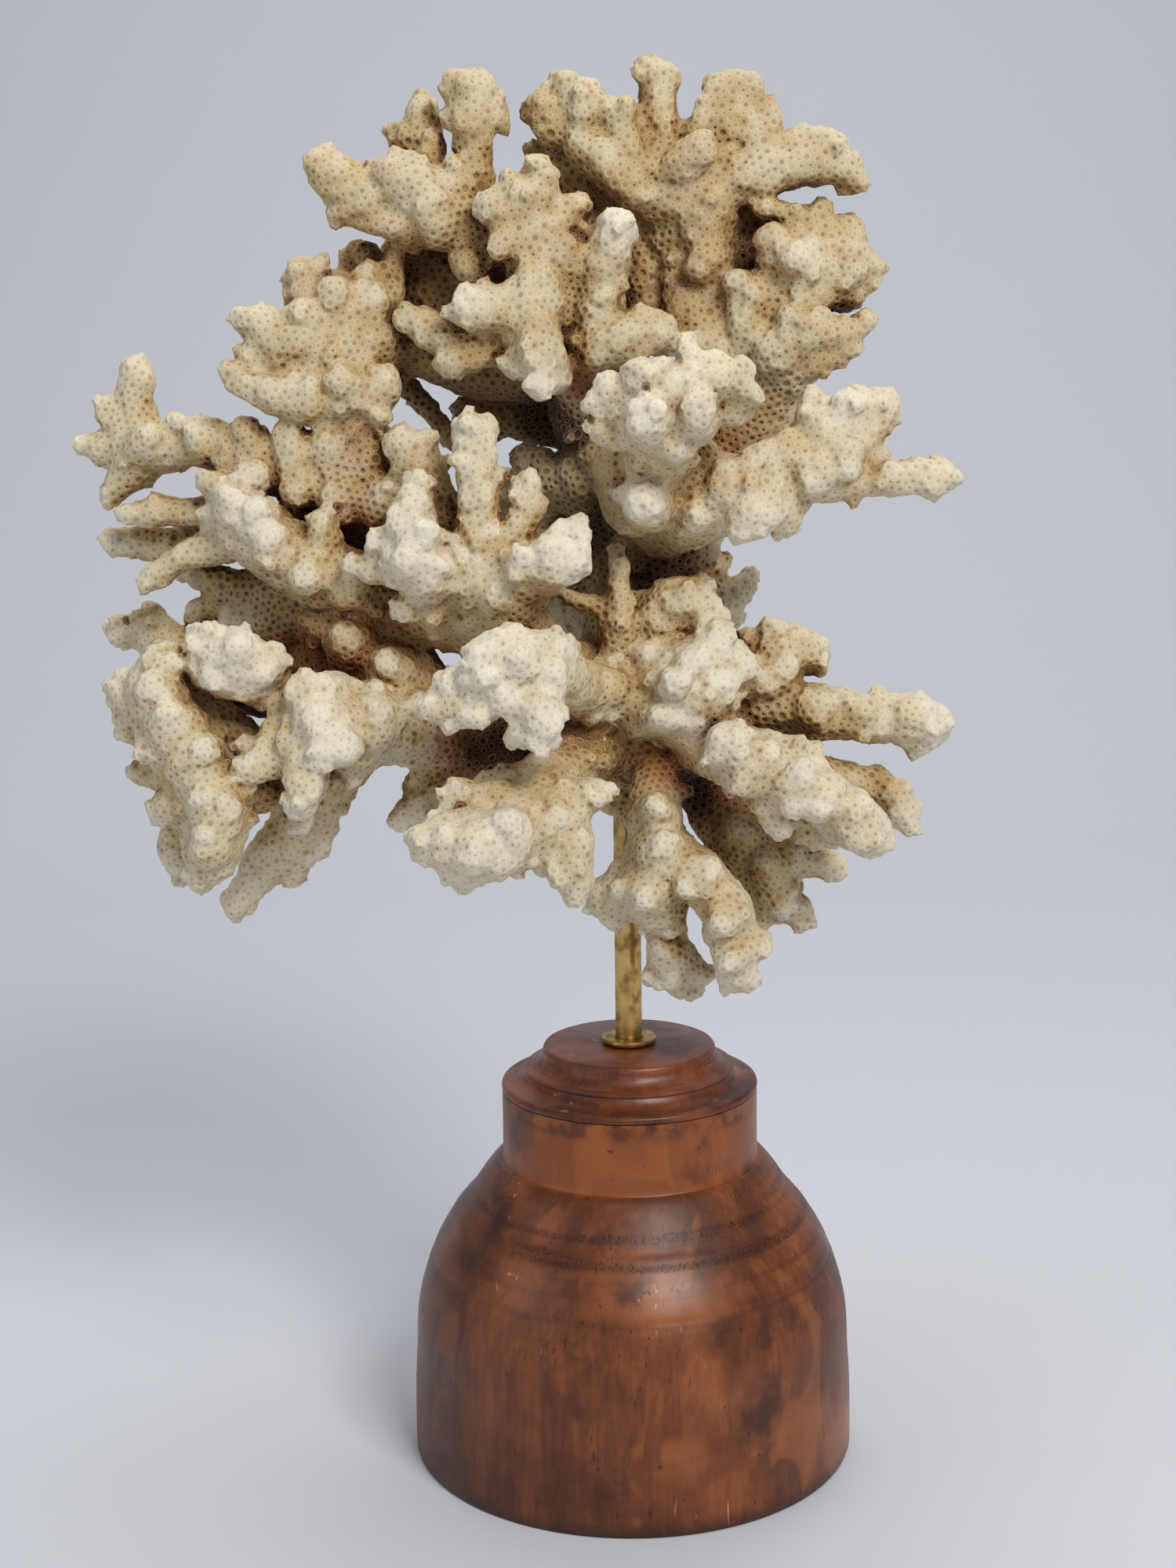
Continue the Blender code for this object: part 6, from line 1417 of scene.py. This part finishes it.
def with_grooves(profile):
    """The lathe tool's marks: faint ripples all along, and the grooves where it dug in."""
    marked = []
    for radius, height in profile:
        dug = sum(depth * math.exp(-((height / MM - at) / wide) ** 2) for at, depth, wide in GROOVES)
        marked.append((radius - dug * MM + RIPPLE * chance.standard_normal(), height))
    return marked


BELL_FOOT = [(41.2, 0.0), (41.8, 0.25), (42.0, 0.8), (42.0, 4.0), (41.9, 12.0), (41.4, 20.5)]
BELL_SHOULDER = [(41.4, 20.5), (41.0, 28.0), (39.5, 34.4), (37.3, 40.3), (33.8, 46.3), (30.6, 50.1),
                 (27.9, 54.0), (26.0, 56.3), (24.9, 57.2)]
BELL_NECK = [(24.5, 57.25), (24.25, 57.6), (24.15, 58.6), (24.1, 64.0), (24.08, 70.2), (24.02, 70.62)]
foot = smooth_profile(BELL_FOOT, 2.0 * MM)
shoulder = with_grooves(smooth_profile(BELL_SHOULDER, 0.42 * MM))
neck = smooth_profile(BELL_NECK, 1.2 * MM)
bore = [(HOLE_RADIUS, NECK_TOP), (HOLE_RADIUS, HOLE_FLOOR)]
bell = turn_up("turned_bell", foot + shoulder[1:] + neck + bore, TURNED_SIDES)

CAP_BEAD = [(24.05, 70.8), (24.14, 70.95), (24.18, 71.4), (24.05, 71.85), (23.7, 72.1)]
CAP_COVE = [(23.2, 72.15), (22.2, 72.25), (21.1, 72.55), (20.2, 73.1), (19.65, 73.8), (19.5, 74.15)]
CAP_LIP = [(19.6, 74.25), (19.75, 74.45), (19.72, 74.7), (19.4, 74.9)]
CAP_NECK = [(18.9, 75.0), (18.1, 75.3), (17.2, 76.0), (16.6, 77.0), (16.3, 78.0), (16.2, 78.4), (15.95, 78.75),
            (15.5, 78.9)]
cap_side = [point for stops in (CAP_BEAD, CAP_COVE, CAP_LIP, CAP_NECK) for point in smooth_profile(stops, 0.3 * MM)]
cap_ring = [(HOLE_RADIUS, CAP_FLOOR)] + cap_side + [(HOLE_RADIUS, CAP_TOP), (HOLE_RADIUS, CAP_FLOOR)]
cap = turn_up("moulded_cap", cap_ring, TURNED_SIDES, ring=True)

for piece, node, slot in ((bell, "base_bell", "turned_wood"), (cap, "base_cap", "cap_wood")):
    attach(piece, "root")
    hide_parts(node)
print("bell faces:", len(bell.data.polygons), "cap faces:", len(cap.data.polygons))

# %% [markdown]
# ### Old varnished wood
# One node group makes the grain for both woods: a figure of light and dark drawn out along the turning axis,
# fine fibres, and short dark pores. Each wood gives it its own colours and scale, and adds its own wear.

# %% Grain group
def grain_group():
    group = bpy.data.node_groups.new("wood grain", "ShaderNodeTree")
    for name, kind, value in (("Vector", "NodeSocketVector", None), ("Dark", "NodeSocketColor", None),
                              ("Light", "NodeSocketColor", None), ("Figure", "NodeSocketFloat", 60.0),
                              ("Pores", "NodeSocketFloat", 1.0)):
        socket = group.interface.new_socket(name, in_out="INPUT", socket_type=kind)
        if value is not None:
            socket.default_value = value
    group.interface.new_socket("Color", in_out="OUTPUT", socket_type="NodeSocketColor")
    group.interface.new_socket("Height", in_out="OUTPUT", socket_type="NodeSocketFloat")
    given = group.nodes.new("NodeGroupInput").outputs
    result = group.nodes.new("NodeGroupOutput").inputs

    where = given["Vector"]
    figure = noise(group, stretched(group, where, 1, 0.6), given["Figure"], 5.0, 0.62)
    fibres = noise(group, stretched(group, where, 1, 0.06), 900.0, 3.0, 0.6)
    pores = add(group, "TexNoise", {"Vector": stretched(group, where, 1, 0.16), "Scale": 1500.0,
                                    "Detail": 1.0}).outputs["Fac"]
    patch = noise(group, where, 160.0, 2.0)
    pore = stretch(group, pores, 0.67, 0.74)
    pore = times(group, pore, stretch(group, patch, 0.42, 0.6))
    pore = times(group, pore, given["Pores"])
    tone = blend(group, stretch(group, figure, 0.3, 0.7), given["Dark"], given["Light"])
    streak = blend(group, stretch(group, fibres, 0.35, 0.7, 0.0, 0.36), tone, colour(124, 82, 54), "MULTIPLY")
    tone = blend(group, stretch(group, pore, 0.0, 1.0, 0.0, 0.8), streak, colour(30, 14, 8))
    group.links.new(tone, result["Color"])
    height = sums(group, "SUBTRACT", times(group, fibres, 0.35), pore)
    group.links.new(height, result["Height"])
    return group


grain = grain_group()


def place_grain(tree, where, dark, light, figure, pores):
    """The grain group in a wood's own colours and scale: its colour and its relief."""
    node = add(tree, "Group", node_tree=grain)
    for name, value in (("Dark", dark), ("Light", light), ("Figure", figure), ("Pores", pores)):
        node.inputs[name].default_value = value
    tree.links.new(where, node.inputs["Vector"])
    return node.outputs["Color"], node.outputs["Height"]


print("grain group nodes:", len(grain.nodes))

# %% Woods
def bell_material():
    made, tree, shader = new_material("walnut bell", roughness=0.4, coat_roughness=0.35, specular_ior_level=0.35)
    where = add(tree, "TexCoord").outputs["Object"]
    height = add(tree, "SeparateXYZ", {"Vector": where}).outputs["Z"]
    tint, relief = place_grain(tree, where, colour(80, 40, 19), colour(138, 76, 36), 62.0, 1.0)
    curls = add(tree, "TexNoise", {"Vector": stretched(tree, where, 1, 0.55), "Scale": 48.0, "Detail": 3.0,
                                   "Distortion": 1.6}).outputs["Fac"]
    tint = blend(tree, stretch(tree, curls, 0.47, 0.52, 0.0, 0.34), tint, colour(80, 34, 16))
    tint = blend(tree, stretch(tree, curls, 0.58, 0.66, 0.0, 0.42), tint, colour(158, 92, 42))
    neck = stretch(tree, height, 56.8 * MM, 57.6 * MM)
    tint = blend(tree, times(tree, neck, 0.45), tint, colour(160, 86, 32))
    rings = noise(tree, stretched(tree, where, 0.02, 1), 620.0, 3.0)
    below_neck = sums(tree, "SUBTRACT", 1.0, neck)
    turned_zone = times(tree, below_neck, stretch(tree, height, 30 * MM, 42 * MM, 0.15, 1.0))
    ring_share = times(tree, stretch(tree, rings, 0.45, 0.7, 0.0, 0.5), turned_zone)
    tint = blend(tree, ring_share, tint, colour(150, 96, 66), "MULTIPLY")
    torn_band = times(tree, stretch(tree, height, 43 * MM, 46 * MM), stretch(tree, height, 56 * MM, 53 * MM))
    torn = times(tree, stretch(tree, noise(tree, stretched(tree, where, 1, 0.4), 2100.0, 1.0), 0.52, 0.66),
                 stretch(tree, rings, 0.50, 0.60))
    torn = times(tree, torn, torn_band)
    tint = blend(tree, times(tree, torn, 0.85), tint, colour(34, 16, 10))
    worn_band = times(tree, stretch(tree, height, 37.5 * MM, 39.5 * MM), stretch(tree, height, 49 * MM, 44 * MM))
    worn = sums(tree, "ADD", noise(tree, where, 34.0, 4.0), times(tree, worn_band, 0.12))
    tint = blend(tree, stretch(tree, worn, 0.54, 0.78, 0.0, 0.6), tint, colour(170, 100, 54))
    elsewhere = add(tree, "Mapping", {"Vector": where, "Location": (0.3, 0.1, 0)}).outputs["Vector"]
    stains = noise(tree, elsewhere, 60.0, 5.0)
    tint = blend(tree, stretch(tree, stains, 0.56, 0.70, 0.0, 0.75), tint, colour(40, 20, 12))
    dots = noise(tree, where, 520.0, 1.0)
    tint = blend(tree, stretch(tree, dots, 0.74, 0.78, 0.0, 0.7), tint, colour(40, 18, 10))
    lines = stretch(tree, noise(tree, stretched(tree, where, 1, 0.07), 900.0, 1.0), 0.66, 0.72)
    scratches = times(tree, lines, stretch(tree, noise(tree, where, 70.0, 2.0), 0.56, 0.66))
    tint = blend(tree, times(tree, scratches, 0.65), tint, colour(200, 146, 104))
    foot = stretch(tree, height, 0.0, 4 * MM, 0.75, 0.0)
    tint = blend(tree, foot, tint, colour(40, 20, 12))
    joint = times(tree, stretch(tree, height, 66.5 * MM, 68.5 * MM),
                  stretch(tree, noise(tree, where, 260.0, 4.0), 0.42, 0.62))
    tint = blend(tree, times(tree, joint, 0.7), tint, colour(58, 24, 14))
    # Painted shade on the bell's left side, away from the key light.
    painted_shade_x = add(tree, "SeparateXYZ", {"Vector": where}).outputs["X"]
    tint = blend(tree, stretch(tree, painted_shade_x, -8 * MM, -40 * MM, 0.0, 0.4), tint, colour(56, 28, 16))
    tree.links.new(tint, shader.inputs["Base Color"])
    tree.links.new(stretch(tree, worn, 0.3, 0.75, 0.50, 0.34), shader.inputs["Roughness"])
    shader.inputs["Coat Weight"].default_value = 0.12
    relief = sums(tree, "ADD", relief, times(tree, times(tree, rings, turned_zone), 0.4))
    relief = sums(tree, "SUBTRACT", relief, times(tree, torn, 0.6))
    relief_on(tree, shader, relief, 0.5, 0.06 * MM)
    return made


def cap_material():
    made, tree, shader = new_material("red stained cap", roughness=0.4, coat_roughness=0.3, specular_ior_level=0.35)
    where = add(tree, "TexCoord").outputs["Object"]
    tint, relief = place_grain(tree, where, colour(76, 36, 21), colour(132, 72, 40), 70.0, 0.35)
    streaks = noise(tree, stretched(tree, where, 0.08, 1), 1500.0, 3.0)
    tint = blend(tree, stretch(tree, streaks, 0.4, 0.7, 0.0, 0.5), tint, colour(140, 84, 62), "MULTIPLY")
    patches = noise(tree, where, 60.0, 3.0)
    tint = blend(tree, stretch(tree, patches, 0.5, 0.72, 0.0, 0.5), tint, colour(148, 86, 48))
    scuffs = noise(tree, stretched(tree, where, 0.5, 1.6), 420.0, 3.0)
    tint = blend(tree, stretch(tree, scuffs, 0.66, 0.74, 0.0, 0.5), tint, colour(196, 140, 100))
    tree.links.new(tint, shader.inputs["Base Color"])
    tree.links.new(stretch(tree, streaks, 0.3, 0.75, 0.32, 0.5), shader.inputs["Roughness"])
    shader.inputs["Coat Weight"].default_value = 0.1
    relief_on(tree, shader, sums(tree, "ADD", relief, streaks), 0.4, 0.04 * MM)
    return made


bell.data.materials.append(bell_material())
cap.data.materials.append(cap_material())
print("wood on:", bell.name, cap.name)

# %% [markdown]
# ## The brass rod and its washer
# Both are plain stock, dulled and browned with age. The rod has fine marks along its length, and the washer's
# edges are rounded off.

# %% Rod and washer
ROD_PROFILE = [(2.2, 58.9), (2.5, 59.2), (2.5, 100.0), (2.5, 137.2), (2.2, 137.5)]
WASHER_PROFILE = [(2.62, 79.2), (4.85, 79.2), (5.1, 79.35), (5.2, 79.6), (5.2, 79.95), (5.1, 80.2), (4.85, 80.3),
                  (4.5, 80.24), (4.1, 80.2), (2.8, 80.2), (2.62, 80.1), (2.62, 79.2)]
rod = turn_up("rod_in_brass", [(radius * MM, height * MM) for radius, height in ROD_PROFILE], 40)
washer = turn_up("washer_in_brass", [(radius * MM, height * MM) for radius, height in WASHER_PROFILE], 64, ring=True)


def brass_material():
    made, tree, shader = new_material("aged brass", metallic=1.0, roughness=0.35)
    where = add(tree, "TexCoord").outputs["Object"]
    tarnish = noise(tree, where, 320.0, 4.0)
    fine = noise(tree, stretched(tree, where, 1, 0.12), 1800.0, 2.0)
    tint = blend(tree, stretch(tree, tarnish, 0.38, 0.72), colour(206, 172, 106), colour(148, 112, 62))
    tint = blend(tree, stretch(tree, fine, 0.55, 0.8, 0.0, 0.35), tint, colour(100, 68, 38))
    tree.links.new(tint, shader.inputs["Base Color"])
    tree.links.new(stretch(tree, tarnish, 0.3, 0.7, 0.26, 0.5), shader.inputs["Roughness"])
    relief_on(tree, shader, sums(tree, "ADD", fine, tarnish), 0.3, 0.03 * MM)
    return made


brass = brass_material()
for piece, node in ((rod, "brass_rod"), (washer, "rod_washer")):
    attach(piece, "root")
    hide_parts(node)
    piece.data.materials.append(brass)
print("rod faces:", len(rod.data.polygons), "washer faces:", len(washer.data.polygons))

# %% [markdown]
# ## The floor and the light
# A plain pale floor that curves up behind, and soft light from large panels: a key from the upper right, a weak
# fill from the left and a glow from above.

# %% Floor
FLOOR_HALF = 1.6
SWEEP_FROM = 0.45
SWEEP_STEPS = 12
SWEEP_STRIDE = 0.07
WALL_HEIGHT = 1.6


def make_floor():
    deselect_all()
    bpy.ops.mesh.primitive_plane_add(size=2 * FLOOR_HALF, location=(0, -FLOOR_HALF + SWEEP_FROM, 0))
    floor = bpy.context.object
    floor.name = "floor"
    bpy.ops.object.transform_apply(location=True)
    bpy.ops.object.mode_set(mode="EDIT")
    bpy.ops.mesh.select_mode(type="EDGE")
    bpy.ops.mesh.select_all(action="DESELECT")
    shape = bmesh.from_edit_mesh(floor.data)
    for edge in shape.edges:
        edge.select = all(corner.co.y > SWEEP_FROM - 0.01 for corner in edge.verts)
    bmesh.update_edit_mesh(floor.data)
    for step in range(SWEEP_STEPS):
        lean = math.radians(90 * (step + 0.5) / SWEEP_STEPS)
        out = (0, SWEEP_STRIDE * math.cos(lean), SWEEP_STRIDE * math.sin(lean))
        bpy.ops.mesh.extrude_region_move(TRANSFORM_OT_translate={"value": out})
    bpy.ops.mesh.extrude_region_move(TRANSFORM_OT_translate={"value": (0, 0, WALL_HEIGHT)})
    bpy.ops.object.mode_set(mode="OBJECT")
    floor.data.shade_smooth()
    made, tree, shader = new_material("pale floor", base_color=colour(206, 208, 214), roughness=0.85)
    floor.data.materials.append(made)
    return floor


floor = make_floor()
print("floor faces:", len(floor.data.polygons))

# %% Lights
AIM = Vector((0, 0, 0.14))
ROOM_COLOUR = (0.80, 0.83, 0.90, 1)
ROOM_STRENGTH = 0.30


def panel_light(name, place, size, watts, tint=(1.0, 1.0, 1.0)):
    """A square panel of light at a place, turned to the coral's middle."""
    data = bpy.data.lights.new(name, "AREA")
    data.energy = watts
    data.size = size
    data.color = tint
    lamp = bpy.data.objects.new(name, data)
    lamp.location = place
    lamp.rotation_euler = (AIM - Vector(place)).to_track_quat("-Z", "Y").to_euler()
    bpy.context.scene.collection.objects.link(lamp)
    return lamp


lights = [
    panel_light("key", place=(0.42, -0.80, 0.85), size=0.45, watts=9.6, tint=(1.0, 0.98, 0.95)),
    panel_light("fill", place=(-0.95, -0.5, 0.5), size=0.8, watts=1.9, tint=(0.93, 0.96, 1.0)),
    panel_light("top", place=(0.0, 0.30, 1.1), size=0.8, watts=5.0),
]
world = bpy.data.worlds.new("room")
world.use_nodes = True
room = world.node_tree.nodes["Background"].inputs
room["Color"].default_value = ROOM_COLOUR
room["Strength"].default_value = ROOM_STRENGTH
bpy.context.scene.world = world
bpy.context.scene.view_settings.view_transform = "Standard"
print("lights:", [lamp.name for lamp in lights])
